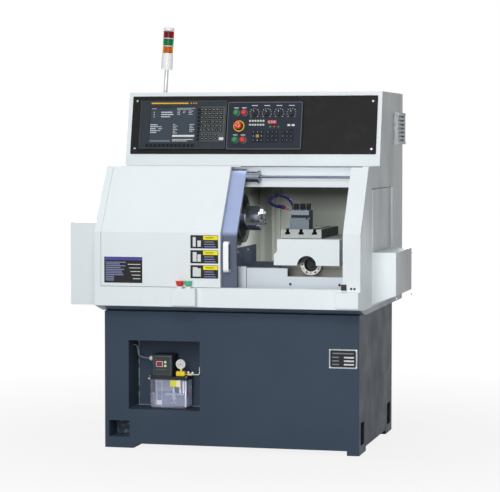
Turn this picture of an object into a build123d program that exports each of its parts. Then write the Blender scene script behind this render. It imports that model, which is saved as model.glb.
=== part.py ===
from build123d import *
import math
import os

# Compact enclosed flat-bed lathe: cabinet base, chip tray, sheet enclosure with a sliding door, control head,
# light tower, belt-driven spindle with a three-jaw chuck, and a carriage with T-slot slide and tool post.
# Millimetres, +Z up. While modelling, X is measured from the middle and Y back from the base's front face.
# On export every piece moves forward by half the base depth, so the origin is the middle of the floor bolts.

# Shared clearances and sheet
SHEET = 3
OVERRUN = 5
RUN_GAP = 0.3
BEARING_GAP = 0.05
FACE_GAP = 1

# Base cabinet
BASE_WIDTH = 1200
BASE_DEPTH = 880
BASE_TOP = 637
FOOT_HEIGHT = 21
FOOT_DEPTH = 172
FOOT_WIDTH_LEFT = 138
FOOT_WIDTH_RIGHT = 56
BOLT_EDGE_X = 32
BOLT_EDGE_Y = 86
BOLT_RADIUS = 7
FRONT_POCKET_EDGE = 20
FRONT_POCKET_WIDTH = 98
FRONT_POCKET_FLOOR = 50
FRONT_POCKET_HEIGHT = 77
FRONT_POCKET_DEPTH = 120
SIDE_POCKET_WIDTH = 92
SIDE_POCKET_FLOOR = 40
SIDE_POCKET_HEIGHT = 104
SIDE_POCKET_DEPTH = 80
RECESS_EDGE = 115
RECESS_WIDTH = 341
RECESS_FLOOR = 181
RECESS_HEIGHT = 321
RECESS_DEPTH = 165
SEAM_WIDTH = 3
SEAM_DEPTH = 2

# Tray and lip
SIDE_OVERHANG = 20
TRAY_THICKNESS = 23
TRAY_KNEE = 33
LIP_PROUD = 89
LIP_RISE = 32
LIP_HEIGHT = 89
LIP_DEPTH = 59
GROOVE_DEPTH = 8
GROOVE_GAP = 2
BUTTON_BOX_X = -188.5
BUTTON_BOX_WIDTH = 115
BOX_PROUD = 40
BOX_RISE = 9
BUTTON_BOX_HEIGHT = 77
END_BLOCK_EDGE = 1
END_BLOCK_WIDTH = 108
END_BLOCK_HEIGHT = 70
BOX_CORNER = 4
LIP_BUTTON_PITCH = 40
LIP_COLLAR_RADIUS = 15
LIP_COLLAR_HEIGHT = 9

# Enclosure
FRONT_HEIGHT = 249
SLOPE_HEIGHT = 299
SLOPE_RUN = 202
RIGHT_FLANGE = 80
LEFT_FLANGE = 31
EDGE_FOLD = 25
COVER_WIDTH = 566
BAR_HOLE_RADIUS = 30
SCREW_HOLE_RADIUS = 24
CABINET_OVERHANG = 180
CABINET_DEPTH = 337
RIB_X = 33
RIB_WIDTH = 14
RIB_PITCH = 28
RIB_DEPTH = 12
HEADER_SETBACK = 67
HEADER_DROP = 96
HEADER_FOLD = 30
PARTITION_X = -30
PARTITION_INSET = 85
NOTCH_GAP = 2

# Control head
HEAD_SETBACK = 287
HEAD_RUN = 76
HEAD_HEIGHT = 350
PLATE_EDGE_X = 20
PLATE_EDGE_LOW = 55
PLATE_EDGE_HIGH = 20
PLATE_CORNER = 4
REAR_DOOR_EDGE = 60

# Display unit, measured on the sloped front from the middle and from the plate's lower edge
DISPLAY_LEFT = -555
DISPLAY_WIDTH = 428
DISPLAY_LOW = 23
DISPLAY_HEIGHT = 235
DISPLAY_THICKNESS = 14
SCREEN_EDGE_X = 48
SCREEN_EDGE_LOW = 33
SCREEN_WIDTH = 228
SCREEN_HEIGHT = 170
SCREEN_DEPTH = 6
KEY_COLUMNS = 6
KEY_ROWS = 6
KEY_PITCH_X = 19
KEY_PITCH_Y = 20
KEY_SIZE = 13
KEY_PROUD = 3
KEY_EDGE_RIGHT = 18
KEY_EDGE_HIGH = 38
SOFT_KEY_COUNT = 12
SOFT_KEY_PITCH = 20.5
SOFT_KEY_LOW = 10
SOFT_KEY_HEIGHT = 12

# Operator panel, measured the same way
OPERATOR_GAP = 6
OPERATOR_WIDTH = 364
OPERATOR_LOW = 20
OPERATOR_HEIGHT = 231
OPERATOR_THICKNESS = 14
PANEL_CORNER = 3
PANEL_BUTTON_X = 42
PANEL_BUTTON_PITCH = 38
PANEL_BUTTON_HIGH = 178
PANEL_BUTTON_LOW = 46
PANEL_BUTTON_RADIUS = 12
PANEL_BUTTON_HEIGHT = 9
BUTTON_STEM_RADIUS = 7
BUTTON_STEM_LENGTH = 8
BUTTON_TRAVEL = 3
ESTOP_X = 58
ESTOP_LOW = 113
ESTOP_COLLAR_RADIUS = 22
ESTOP_COLLAR_HEIGHT = 8
ESTOP_RADIUS = 18
ESTOP_HEIGHT = 14
ESTOP_TRAVEL = 5
KNOB_X = 131
KNOB_PITCH = 60
KNOB_LOW = 176
KNOB_RADIUS = 13
KNOB_HEIGHT = 16
KNOB_GRIP_WIDTH = 7
KEYPAD_X = 124
KEYPAD_LOW = 37
KEYPAD_PITCH = 72
KEYPAD_COLUMNS = 3
KEYPAD_ROWS = 3
KEYPAD_KEY_PITCH = 20
KEYPAD_KEY_SIZE = 14

# Light tower
TOWER_EDGE = 137
TOWER_SETBACK = 220
TOWER_LEAN = 3.7
TOWER_FOOT_RADIUS = 24
TOWER_FOOT_HEIGHT = 10
TOWER_POLE_RADIUS = 10
TOWER_POLE_LENGTH = 115
TOWER_RADIUS = 28
TOWER_BODY_HEIGHT = 80
TOWER_LENS_HEIGHT = 34
TOWER_LENS_GAP = 3
TOWER_LENS_RADIUS = 27
TOWER_SOCKET_RADIUS = 20
TOWER_CAP_HEIGHT = 17

# Side panels and end covers
VENT_BACK_EDGE = 10
VENT_DEPTH = 235
VENT_BOTTOM = 100
VENT_HEIGHT = 155
VENT_PROUD = 16
VENT_SLOTS = 7
VENT_SLOT_HEIGHT = 9
VENT_SLOT_EDGE = 24
ACCESS_FRONT = 199
ACCESS_DEPTH = 501
ACCESS_DROP = 106
ACCESS_FOLD = 14
RIGHT_COVER_FRONT = 200
RIGHT_COVER_DEPTH = 455
RIGHT_COVER_WIDTH = 112
RIGHT_COVER_RISE = 34
RIGHT_COVER_SLOPE = 42
RIGHT_COVER_HEIGHT = 240
LEFT_COVER_FRONT = 150
LEFT_COVER_DEPTH = 500
LEFT_COVER_WIDTH = 195
LEFT_COVER_RISE = 13
LEFT_COVER_HEIGHT = 389
LEFT_COVER_VENT_ROWS = 5
LEFT_COVER_VENT_PITCH = 22
LEFT_COVER_VENT_LENGTH = 160
LEFT_COVER_VENT_HEIGHT = 8
LEFT_COVER_VENT_RISE = 90

# Bed and covers over it
BED_FRONT = 160
BED_BACK_GAP = 120
BED_HEIGHT = 179
BED_END_GAP = 17
BED_LEFT_GAP = 57
CHANNEL_LEFT = 150
CHANNEL_WIDTH = 120
CHANNEL_DEPTH = 100
CHANNEL_END_WALL = 40
GUARD_FRONT = 45
GUARD_FOLD = 40
POST_LEFT = 25
POST_WIDTH = 42
POST_RISE = 10
POST_PROUD = 5
LEFT_GUARD_WIDTH = 191
LEFT_GUARD_RISE = 3
RIGHT_GUARD_WIDTH = 277
RIGHT_GUARD_DROP = 34
CHIP_PLATE_WIDTH = 215
CHIP_PLATE_DROP = 3

# Headstock, spindle and drive
SPINDLE_SETBACK = 140
SPINDLE_HEIGHT = 221
SPINDLE_REAR_GAP = 40
SPINDLE_RADIUS = 40
SPINDLE_BORE_RADIUS = 16
DISC_RADIUS = 115
DISC_THICKNESS = 20
DISC_HUB_RADIUS = 66
DISC_RIM = 6
DISC_BACK_GAP = 20
PLINTH_LEFT_GAP = 140
PLINTH_PROUD = 10
PLINTH_HEIGHT = 83
PLINTH_FRONT = 40
HEADSTOCK_LEFT_GAP = 20
HEADSTOCK_GAP = 30
HEADSTOCK_HALF = 85
HEADSTOCK_TOP = 110
HEADSTOCK_ROUND = 40
CAP_RADIUS = 62
CAP_LENGTH = 14
CHUCK_RADIUS = 57
CHUCK_LENGTH = 68
CHUCK_BORE_RADIUS = 17
CHUCK_CHAMFER = 4
JAW_COUNT = 3
JAW_WIDTH = 20
JAW_GROOVE_DEPTH = 16
JAW_INNER = 22
JAW_STEP = 13
JAW_OUTER = 50
JAW_PROUD = 20
JAW_STEP_PROUD = 10
PULLEY_LEFT_GAP = 20
PULLEY_WIDTH = 40
PULLEY_RIM = 4
PULLEY_RIM_HEIGHT = 4
SPINDLE_PULLEY_RADIUS = 63
MOTOR_PULLEY_RADIUS = 45
BELT_THICKNESS = 6
MOTOR_HEIGHT = 95
MOTOR_LEFT_GAP = 60
MOTOR_LENGTH = 240
MOTOR_RADIUS = 85
MOTOR_SHAFT_RADIUS = 14
MOTOR_SHAFT_SEAT = 40
MOTOR_FOOT_EDGE = 40
MOTOR_FOOT_WIDTH = 90
MOTOR_FIN_COUNT = 5
MOTOR_FIN_DEPTH = 4
MOTOR_FIN_WIDTH = 14

# Z screw with its servo
Z_SCREW_RISE = 45
Z_SCREW_RADIUS = 12.5
Z_JOURNAL_RADIUS = 10
Z_SCREW_END_GAP = 5
Z_SCREW_STUB = 24
SERVO_SIZE = 80
SERVO_LENGTH = 68
LANTERN_LENGTH = 32
LANTERN_WALL = 8

# Saddle and cross slide
SADDLE_END_GAP = 392
SADDLE_WIDTH = 290
SADDLE_FRONT = 150
SADDLE_BACK_GAP = 40
SADDLE_HEIGHT = 138
TONGUE_EDGE = 92
TONGUE_WIDTH = 112
TONGUE_DEPTH = 90
X_SCREW_EDGE = 148
X_SCREW_RISE = 19
X_SCREW_RADIUS = 10
X_SLOT_WIDTH = 52
X_SLOT_WALL = 25
RING_RADIUS = 49
RING_BORE_RADIUS = 32
RING_LENGTH = 50
RING_BOLT_COUNT = 6
RING_BOLT_RADIUS = 4
RING_BOLT_DEPTH = 6
X_SCREW_NOSE = 33
SADDLE_COVER_FRONT = 50
SADDLE_COVER_DROP = 2
SADDLE_COVER_HEIGHT = 119
SADDLE_COVER_STEP = 15
SADDLE_COVER_STEP_HEIGHT = 50
SADDLE_COVER_STEP_SLOPE = 14
ARCH_EDGE = 138
ARCH_RADIUS = 44
SLIDE_EDGE = 7
SLIDE_WIDTH = 189
SLIDE_FRONT = 100
SLIDE_BACK_GAP = 60
SLIDE_HEIGHT = 41
SLOT_COUNT = 3
SLOT_PITCH = 63
SLOT_NECK = 14
SLOT_NECK_DEPTH = 13
SLOT_FOOT = 24
SLOT_FOOT_HEIGHT = 11
SLIDE_TONGUE_FRONT = 240
SLIDE_TONGUE_DEPTH = 140
SLIDE_TONGUE_HEIGHT = 20
NUT_WIDTH = 34
NUT_DEPTH = 80
NUT_BELOW = 13

# Tool post and coolant hose
POST_EDGE = 38
TOOL_POST_WIDTH = 90
POST_FRONT = 115
POST_DEPTH = 90
POST_BLOCK_HEIGHT = 44
POST_NECK_HEIGHT = 8
POST_NECK_CUT = 14
POST_SLOT_HEIGHT = 13
POST_SLOT_DEPTH = 26
POST_PLATE_HEIGHT = 21
POST_BOLT_RADIUS = 8
POST_BOLT_HEIGHT = 30
POST_BOLT_EDGE = 15
POST_BOLT_HEX = 9
POST_BOLT_HEX_HEIGHT = 12
HOSE_RADIUS = 8
HOSE_BASE = 30
HOSE_BASE_HEIGHT = 24
HOSE_FROM_SLIDE_LEFT = 21
HOSE_FROM_SLIDE_FRONT = 230
# Hose points and nozzle tip, measured from the hose's foot on the cross slide
HOSE_ROUTE = ((0, 0, 72), (-22, -26, 134), (-66, -68, 158), (-110, -94, 132), (-90, -104, 102),
              (-40, -110, 98))
HOSE_CORNER = 18
NOZZLE_END = (-12, -111, 88)
NOZZLE_TIP_RADIUS = 4
NOZZLE_BALL_RADIUS = 10

# Door
DOOR_INSET = 30
DOOR_LAP = 68
DOOR_WIDTH = 600
DOOR_GROOVE_ENTRY = 5
DOOR_TOP_DROP = 21
DOOR_FOLD = 15
DOOR_FOLD_DROP = 90
WINDOW_EDGE_LEFT = 75
WINDOW_EDGE_RIGHT = 105
WINDOW_LOW = 25
WINDOW_HEIGHT = 190
WINDOW_LAP = 10
WINDOW_THICKNESS = 5
RAIL_SETBACK = 33
RAIL_DROP = 49
RAIL_RADIUS = 6
BUSH_RADIUS = 24
BUSH_LENGTH = 60
BUSH_FLANGE_RADIUS = 29
BUSH_FLANGE = 8
BUSH_BLOCK = 50
BUSH_BLOCK_HALF = 20
HANDLE_GAP = 15
HANDLE_WIDTH = 24
HANDLE_BOTTOM = 71
HANDLE_HEIGHT = 139
HANDLE_PROUD = 40
HANDLE_BAR = 12
HANDLE_ROUND = 18
LIP_BUTTON_RADIUS = 19
LIP_BUTTON_WAIST = 15
LIP_BUTTON_HEIGHT = 19
LIP_BUTTON_TRAVEL = 4
LIP_STEM_RADIUS = 9
LIP_STEM_LENGTH = 22

# Lubricator
TANK_LEFT = 85
TANK_WIDTH = 186
TANK_FRONT = 40
TANK_DEPTH = 100
TANK_HEIGHT = 137
TANK_WALL = 4
TANK_TAPER = 5
TANK_CORNER = 10
LID_HEIGHT = 13
LID_LAP = 2
PUMP_EDGE = 16
PUMP_WIDTH = 98
PUMP_HEIGHT = 102
PUMP_BACK_EDGE = 6
PUMP_CORNER = 6
OUTLET_LEFT = 132
OUTLET_WIDTH = 40
OUTLET_DEPTH = 34
OUTLET_HEIGHT = 24
GAUGE_RADIUS = 22
GAUGE_DEPTH = 24
GAUGE_RIM = 3
GAUGE_STEM_RADIUS = 6
GAUGE_STEM_HEIGHT = 14
PIPE_RADIUS = 3
PIPE_CORNER = 16
PIPE_RISE = 38
GLAND_RADIUS = 8
GLAND_LENGTH = 12
GLAND_DROP = 22
CABLE_RADIUS = 3
CABLE_LIFT = 62
CABLE_EDGE = 20
CABLE_SAG = 8
CABLE_SETBACK = 45
CABLE_CORNER = 14

# Places worked out from the sizes above
HALF = (BASE_WIDTH + 2 * SIDE_OVERHANG) / 2
INNER = HALF - SHEET
TRAY_TOP = BASE_TOP + TRAY_THICKNESS
LIP_FRONT = -LIP_PROUD
LIP_BACK = LIP_FRONT + LIP_DEPTH
LIP_BOTTOM = BASE_TOP + LIP_RISE
LIP_TOP = LIP_BOTTOM + LIP_HEIGHT
BEND_Z = LIP_TOP + FRONT_HEIGHT
ROOF_Z = BEND_Z + SLOPE_HEIGHT
ROOF_UNDER = ROOF_Z - SHEET
ROOF_FRONT = LIP_FRONT + SLOPE_RUN
SLOPE_ANGLE = math.atan2(SLOPE_RUN, SLOPE_HEIGHT)
CABINET_BACK = BASE_DEPTH + CABINET_OVERHANG
CABINET_FRONT = CABINET_BACK - CABINET_DEPTH
REAR_WALL_Y = CABINET_FRONT - SHEET
HEAD_FRONT = ROOF_FRONT + HEAD_SETBACK
HEAD_TOP = ROOF_Z + HEAD_HEIGHT
HEAD_SLOPE = math.hypot(HEAD_RUN, HEAD_HEIGHT)
BED_TOP = TRAY_TOP + BED_HEIGHT
BED_BACK = REAR_WALL_Y - BED_BACK_GAP
BED_LEFT = -INNER + BED_LEFT_GAP
BED_RIGHT = INNER - BED_END_GAP
CHANNEL_RIGHT = BED_RIGHT - CHANNEL_END_WALL
SPINDLE_Y = BED_FRONT + SPINDLE_SETBACK
SPINDLE_Z = BED_TOP + SPINDLE_HEIGHT
DISC_BACK = PARTITION_X + DISC_BACK_GAP
DISC_FRONT = DISC_BACK + DISC_THICKNESS
CHUCK_FRONT = DISC_FRONT + CHUCK_LENGTH
PLINTH_TOP = BED_TOP + PLINTH_HEIGHT
MOTOR_Y = (SPINDLE_Y + HEADSTOCK_HALF + REAR_WALL_Y) / 2
SPINDLE_REAR = BED_LEFT + SPINDLE_REAR_GAP
PULLEY_LEFT = SPINDLE_REAR + PULLEY_LEFT_GAP
MOTOR_LEFT = PULLEY_LEFT + MOTOR_LEFT_GAP
PLINTH_LEFT = BED_LEFT + PLINTH_LEFT_GAP
HEADSTOCK_LEFT = PLINTH_LEFT + HEADSTOCK_LEFT_GAP
MOTOR_Z = PLINTH_TOP + MOTOR_HEIGHT
Z_SCREW_Y = (BED_FRONT + BED_BACK) / 2
Z_SCREW_Z = BED_TOP - CHANNEL_DEPTH + Z_SCREW_RISE
SADDLE_BOTTOM = BED_TOP + RUN_GAP
SADDLE_TOP = SADDLE_BOTTOM + SADDLE_HEIGHT
SADDLE_BACK = BED_BACK - SADDLE_BACK_GAP
SADDLE_LEFT = BED_RIGHT - SADDLE_END_GAP
SADDLE_RIGHT = SADDLE_LEFT + SADDLE_WIDTH
TONGUE_LEFT = SADDLE_LEFT + TONGUE_EDGE
X_SCREW_X = SADDLE_LEFT + X_SCREW_EDGE
ARCH_X = SADDLE_LEFT + ARCH_EDGE
SLIDE_LEFT = SADDLE_LEFT + SLIDE_EDGE
POST_X = SLIDE_LEFT + POST_EDGE
X_SCREW_Z = SADDLE_BOTTOM + X_SCREW_RISE
X_SLOT_FRONT = SADDLE_FRONT + X_SLOT_WALL
X_SLOT_BACK = SADDLE_BACK - X_SLOT_WALL
COVER_TOP = SADDLE_TOP - SADDLE_COVER_DROP
COVER_BOTTOM = COVER_TOP - SADDLE_COVER_HEIGHT
SLIDE_BOTTOM = SADDLE_TOP + RUN_GAP
SLIDE_TOP = SLIDE_BOTTOM + SLIDE_HEIGHT
RAIL_Y = ROOF_FRONT + RAIL_SETBACK
RAIL_Z = ROOF_Z - RAIL_DROP
COVER_LEFT = -HALF + LEFT_FLANGE
COVER_RIGHT = COVER_LEFT + COVER_WIDTH
DOOR_RIGHT = COVER_RIGHT + DOOR_LAP
DOOR_LEFT = DOOR_RIGHT - DOOR_WIDTH
HANDLE_X = COVER_RIGHT + HANDLE_GAP
DOOR_TOP = ROOF_Z - DOOR_TOP_DROP
DOOR_BACK_INSET = DOOR_INSET + SHEET
LIP_BUTTON_Y = LIP_FRONT - BOX_PROUD / 2
BOX_TOP = LIP_BOTTOM + BOX_RISE + BUTTON_BOX_HEIGHT
RECESS_LEFT = -BASE_WIDTH / 2 + RECESS_EDGE
TANK_X = RECESS_LEFT + TANK_LEFT
TANK_TOP = RECESS_FLOOR + TANK_HEIGHT
LID_TOP = TANK_TOP + LID_HEIGHT
PLATE_TOP = SHEET
OPERATOR_LEFT = DISPLAY_LEFT + DISPLAY_WIDTH + OPERATOR_GAP
OPERATOR_BASE = PLATE_EDGE_LOW + OPERATOR_LOW
OPERATOR_TOP = PLATE_TOP + OPERATOR_THICKNESS
HEAD_PLANE = Plane(origin=(0, HEAD_FRONT, ROOF_Z), x_dir=(1, 0, 0), z_dir=(0, -HEAD_HEIGHT, HEAD_RUN))
TOWER_X = -HALF + TOWER_EDGE
TOWER = Pos(TOWER_X, HEAD_FRONT + TOWER_SETBACK, HEAD_TOP) * Rot(0, TOWER_LEAN, 0)


# Basic shapes
def block(x0, x1, y0, y1, z0, z1):
    return Pos((x0 + x1) / 2, (y0 + y1) / 2, (z0 + z1) / 2) * Box(x1 - x0, y1 - y0, z1 - z0)


def slab(points, x0, x1):
    """Outline in Y and Z, run along X."""
    outline = Polyline(*[(x0, y, z) for y, z in points], close=True)
    return extrude(make_face(outline), amount=x1 - x0, dir=(1, 0, 0))


def rod_x(radius, x0, x1, y, z):
    return Pos((x0 + x1) / 2, y, z) * Rot(0, 90, 0) * Cylinder(radius, x1 - x0)


def rod_y(radius, y0, y1, x, z):
    return Pos(x, (y0 + y1) / 2, z) * Rot(90, 0, 0) * Cylinder(radius, y1 - y0)


def rod_z(radius, z0, z1, x, y):
    return Pos(x, y, (z0 + z1) / 2) * Cylinder(radius, z1 - z0)


def upright_round(shape, radius):
    return fillet(shape.edges().filter_by(Axis.Z), radius)


def tube_along(points, corner, radius):
    """Round tube on straight runs joined by arcs."""
    path = FilletPolyline(*points, radius=corner)
    start = Plane(origin=path @ 0, z_dir=path % 0)
    return sweep(start * Circle(radius), path=path)


# Bent front of the enclosure: upright below the bend, sloping back above it
def front_y(z, inset):
    upright = LIP_FRONT + inset
    sloped = ROOF_FRONT - (ROOF_Z - z) * math.tan(SLOPE_ANGLE) + inset / math.cos(SLOPE_ANGLE)
    return max(upright, sloped)


def front_points(z0, z1, inset):
    bend = BEND_Z - inset * math.tan(SLOPE_ANGLE / 2)
    middle = [(LIP_FRONT + inset, bend)] if z0 < bend < z1 else []
    return [(front_y(z0, inset), z0)] + middle + [(front_y(z1, inset), z1)]


def front_sheet(x0, x1, z0, z1, inset, depth):
    outline = front_points(z0, z1, inset) + front_points(z0, z1, inset + depth)[::-1]
    return slab(outline, x0, x1)


# Base and tray
def base_cabinet():
    left, right = -BASE_WIDTH / 2, BASE_WIDTH / 2
    body = block(left, right, 0, BASE_DEPTH, FOOT_HEIGHT, BASE_TOP)
    for y0 in (0, BASE_DEPTH - FOOT_DEPTH):
        body += block(left, left + FOOT_WIDTH_LEFT, y0, y0 + FOOT_DEPTH, 0, FOOT_HEIGHT)
        body += block(right - FOOT_WIDTH_RIGHT, right, y0, y0 + FOOT_DEPTH, 0, FOOT_HEIGHT)
    body -= block(RECESS_LEFT, RECESS_LEFT + RECESS_WIDTH, -OVERRUN, RECESS_DEPTH,
                  RECESS_FLOOR, RECESS_FLOOR + RECESS_HEIGHT)
    pocket_left = left + FRONT_POCKET_EDGE
    for y0, y1 in ((-OVERRUN, FRONT_POCKET_DEPTH), (BASE_DEPTH - FRONT_POCKET_DEPTH, BASE_DEPTH + OVERRUN)):
        body -= block(pocket_left, pocket_left + FRONT_POCKET_WIDTH, y0, y1,
                      FRONT_POCKET_FLOOR, FRONT_POCKET_FLOOR + FRONT_POCKET_HEIGHT)
    for y in (BOLT_EDGE_Y, BASE_DEPTH - BOLT_EDGE_Y):
        body -= block(right - SIDE_POCKET_DEPTH, right + OVERRUN, y - SIDE_POCKET_WIDTH / 2,
                      y + SIDE_POCKET_WIDTH / 2, SIDE_POCKET_FLOOR, SIDE_POCKET_FLOOR + SIDE_POCKET_HEIGHT)
        body -= rod_z(BOLT_RADIUS, -OVERRUN, FRONT_POCKET_FLOOR + OVERRUN, left + BOLT_EDGE_X, y)
        body -= rod_z(BOLT_RADIUS, -OVERRUN, SIDE_POCKET_FLOOR + OVERRUN, right - BOLT_EDGE_X, y)
    return body


def lip_box(x0, x1, height):
    low = LIP_BOTTOM + BOX_RISE
    box = block(x0, x1, LIP_FRONT - BOX_PROUD, LIP_FRONT, low, low + height)
    front_edges = box.edges().filter_by(Axis.Z).group_by(Axis.Y)[0]
    return fillet(front_edges, BOX_CORNER)


def lip_button_places():
    return [BUTTON_BOX_X + side * LIP_BUTTON_PITCH / 2 for side in (-1, 1)]


def drip_tray():
    outline = [(TRAY_KNEE, BASE_TOP), (LIP_FRONT, LIP_BOTTOM), (LIP_FRONT, LIP_TOP), (LIP_BACK, LIP_TOP),
               (LIP_BACK, TRAY_TOP), (CABINET_BACK, TRAY_TOP), (CABINET_BACK, BASE_TOP)]
    tray = slab(outline, -HALF, HALF)
    groove_front = LIP_FRONT + DOOR_INSET - GROOVE_GAP
    groove_back = LIP_FRONT + DOOR_BACK_INSET + GROOVE_GAP
    tray -= block(-INNER, INNER, groove_front, groove_back, LIP_TOP - GROOVE_DEPTH, LIP_TOP + OVERRUN)
    tray += lip_box(BUTTON_BOX_X - BUTTON_BOX_WIDTH / 2, BUTTON_BOX_X + BUTTON_BOX_WIDTH / 2,
                    BUTTON_BOX_HEIGHT)
    block_right = HALF - END_BLOCK_EDGE
    tray += lip_box(block_right - END_BLOCK_WIDTH, block_right, END_BLOCK_HEIGHT)
    for x in lip_button_places():
        tray += rod_z(LIP_COLLAR_RADIUS, BOX_TOP, BOX_TOP + LIP_COLLAR_HEIGHT, x, LIP_BUTTON_Y)
    for x in lip_button_places():
        stem_end = BOX_TOP - LIP_STEM_LENGTH
        tray -= rod_z(LIP_STEM_RADIUS + RUN_GAP, stem_end, BOX_TOP + LIP_COLLAR_HEIGHT + OVERRUN,
                      x, LIP_BUTTON_Y)
    return tray


# Enclosure sheets
def wall_outline():
    return front_points(LIP_TOP, ROOF_UNDER, 0) + [(CABINET_FRONT, ROOF_UNDER), (CABINET_FRONT, TRAY_TOP),
                                                   (LIP_BACK, TRAY_TOP), (LIP_BACK, LIP_TOP)]


def left_wall():
    wall = slab(wall_outline(), -HALF, -INNER)
    wall += front_sheet(-HALF, COVER_LEFT, LIP_TOP, ROOF_UNDER, 0, SHEET)
    return wall - rod_x(BAR_HOLE_RADIUS, -HALF - OVERRUN, -INNER + OVERRUN, SPINDLE_Y, SPINDLE_Z)


def right_wall():
    edge = HALF - RIGHT_FLANGE
    wall = slab(wall_outline(), INNER, HALF)
    wall += front_sheet(edge, HALF, LIP_TOP, ROOF_UNDER, 0, SHEET)
    wall += front_sheet(edge, edge + SHEET, LIP_TOP, ROOF_UNDER, 0, EDGE_FOLD)
    return wall - rod_x(SCREW_HOLE_RADIUS, INNER - OVERRUN, HALF + OVERRUN, Z_SCREW_Y, Z_SCREW_Z)


def front_cover():
    cover = front_sheet(COVER_LEFT + FACE_GAP, COVER_RIGHT, LIP_TOP, ROOF_UNDER, 0, SHEET)
    return cover + front_sheet(COVER_RIGHT - SHEET, COVER_RIGHT, LIP_TOP, ROOF_UNDER, 0, EDGE_FOLD)


def roof_panel():
    outline = [(front_y(ROOF_UNDER, 0), ROOF_UNDER), (ROOF_FRONT, ROOF_Z), (CABINET_FRONT, ROOF_Z),
               (CABINET_FRONT, ROOF_UNDER)]
    roof = slab(outline, -HALF, HALF)
    header = ROOF_FRONT + HEADER_SETBACK
    low = ROOF_Z - HEADER_DROP
    left = PARTITION_X + FACE_GAP
    roof += block(left, INNER, header, header + SHEET, low, ROOF_UNDER)
    return roof + block(left, INNER, header, header + HEADER_FOLD, low, low + SHEET)


def rear_wall():
    wall = block(-INNER, INNER, REAR_WALL_Y, CABINET_FRONT, TRAY_TOP, ROOF_UNDER)
    for i in range(2):
        x = RIB_X + i * RIB_PITCH
        wall += block(x, x + RIB_WIDTH, REAR_WALL_Y - RIB_DEPTH, REAR_WALL_Y, BED_TOP, ROOF_UNDER)
    return wall


def headstock_partition():
    bed_y0, bed_y1 = BED_FRONT - NOTCH_GAP, BED_BACK + NOTCH_GAP
    plinth_y0, plinth_y1 = BED_FRONT + PLINTH_FRONT - NOTCH_GAP, BED_BACK + NOTCH_GAP
    outline = front_points(TRAY_TOP, ROOF_UNDER, PARTITION_INSET)
    outline += [(REAR_WALL_Y, ROOF_UNDER), (REAR_WALL_Y, TRAY_TOP), (bed_y1, TRAY_TOP),
                (plinth_y1, PLINTH_TOP), (plinth_y0, PLINTH_TOP), (plinth_y0, BED_TOP),
                (bed_y0, BED_TOP), (bed_y0, TRAY_TOP)]
    wall = slab(outline, PARTITION_X - SHEET, PARTITION_X)
    hole = SPINDLE_RADIUS + NOTCH_GAP
    return wall - rod_x(hole, PARTITION_X - SHEET - OVERRUN, PARTITION_X + OVERRUN, SPINDLE_Y, SPINDLE_Z)


def electrical_cabinet():
    outline = [(HEAD_FRONT, ROOF_Z), (HEAD_FRONT + HEAD_RUN, HEAD_TOP), (CABINET_BACK, HEAD_TOP),
               (CABINET_BACK, TRAY_TOP), (CABINET_FRONT, TRAY_TOP), (CABINET_FRONT, ROOF_Z)]
    body = slab(outline, -HALF, HALF)
    middle = (TRAY_TOP + HEAD_TOP) / 2
    for low, high in ((TRAY_TOP + REAR_DOOR_EDGE, middle),
                      (middle + REAR_DOOR_EDGE, HEAD_TOP - REAR_DOOR_EDGE)):
        back = CABINET_BACK - SEAM_DEPTH
        wide = HALF - REAR_DOOR_EDGE
        door = block(-wide, wide, back, CABINET_BACK + OVERRUN, low, high)
        inside = wide - SEAM_WIDTH
        body -= door - block(-inside, inside, back, CABINET_BACK + OVERRUN,
                             low + SEAM_WIDTH, high - SEAM_WIDTH)
    return body


def side_vent():
    back = CABINET_BACK - VENT_BACK_EDGE
    front = back - VENT_DEPTH
    low = ROOF_Z + VENT_BOTTOM
    hood = block(HALF, HALF + VENT_PROUD, front, back, low, low + VENT_HEIGHT)
    pitch = VENT_HEIGHT / (VENT_SLOTS + 1)
    for i in range(VENT_SLOTS):
        z = low + pitch * (i + 1)
        hood -= block(HALF + SHEET, HALF + VENT_PROUD + OVERRUN,
                      front + VENT_SLOT_EDGE, back - VENT_SLOT_EDGE,
                      z - VENT_SLOT_HEIGHT / 2, z + VENT_SLOT_HEIGHT / 2)
    return hood


def right_cover_top():
    return BASE_TOP + RIGHT_COVER_RISE + RIGHT_COVER_HEIGHT


def side_access_panel():
    low, high = right_cover_top() + FACE_GAP, ROOF_Z - ACCESS_DROP
    back = ACCESS_FRONT + ACCESS_DEPTH
    panel = block(HALF, HALF + SHEET, ACCESS_FRONT, back, low, high)
    return panel + block(HALF, HALF + ACCESS_FOLD, back - SHEET, back, low, high)


def end_cover_outline(width, low, slope, high):
    """Outline in X and Z, from the wall outwards, with the floor rising by the slope."""
    return [(0, low), (width, low + slope), (width, high), (0, high)]


def end_cover(side, width, front, depth, low, slope, high):
    def run(points, y0, y1):
        outline = Polyline(*[(side * (HALF + x), y0, z) for x, z in points], close=True)
        return extrude(make_face(outline), amount=y1 - y0, dir=(0, 1, 0))
    outer = run(end_cover_outline(width, low, slope, high), front, front + depth)
    rise = slope / width
    inner_width = width - SHEET
    inner = [(-OVERRUN, low + SHEET - OVERRUN * rise), (inner_width, low + SHEET + inner_width * rise),
             (inner_width, high - SHEET), (-OVERRUN, high - SHEET)]
    return outer - run(inner, front + SHEET, front + depth - SHEET)


def right_end_cover():
    low = BASE_TOP + RIGHT_COVER_RISE
    return end_cover(1, RIGHT_COVER_WIDTH, RIGHT_COVER_FRONT, RIGHT_COVER_DEPTH, low, RIGHT_COVER_SLOPE,
                     right_cover_top())


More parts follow.
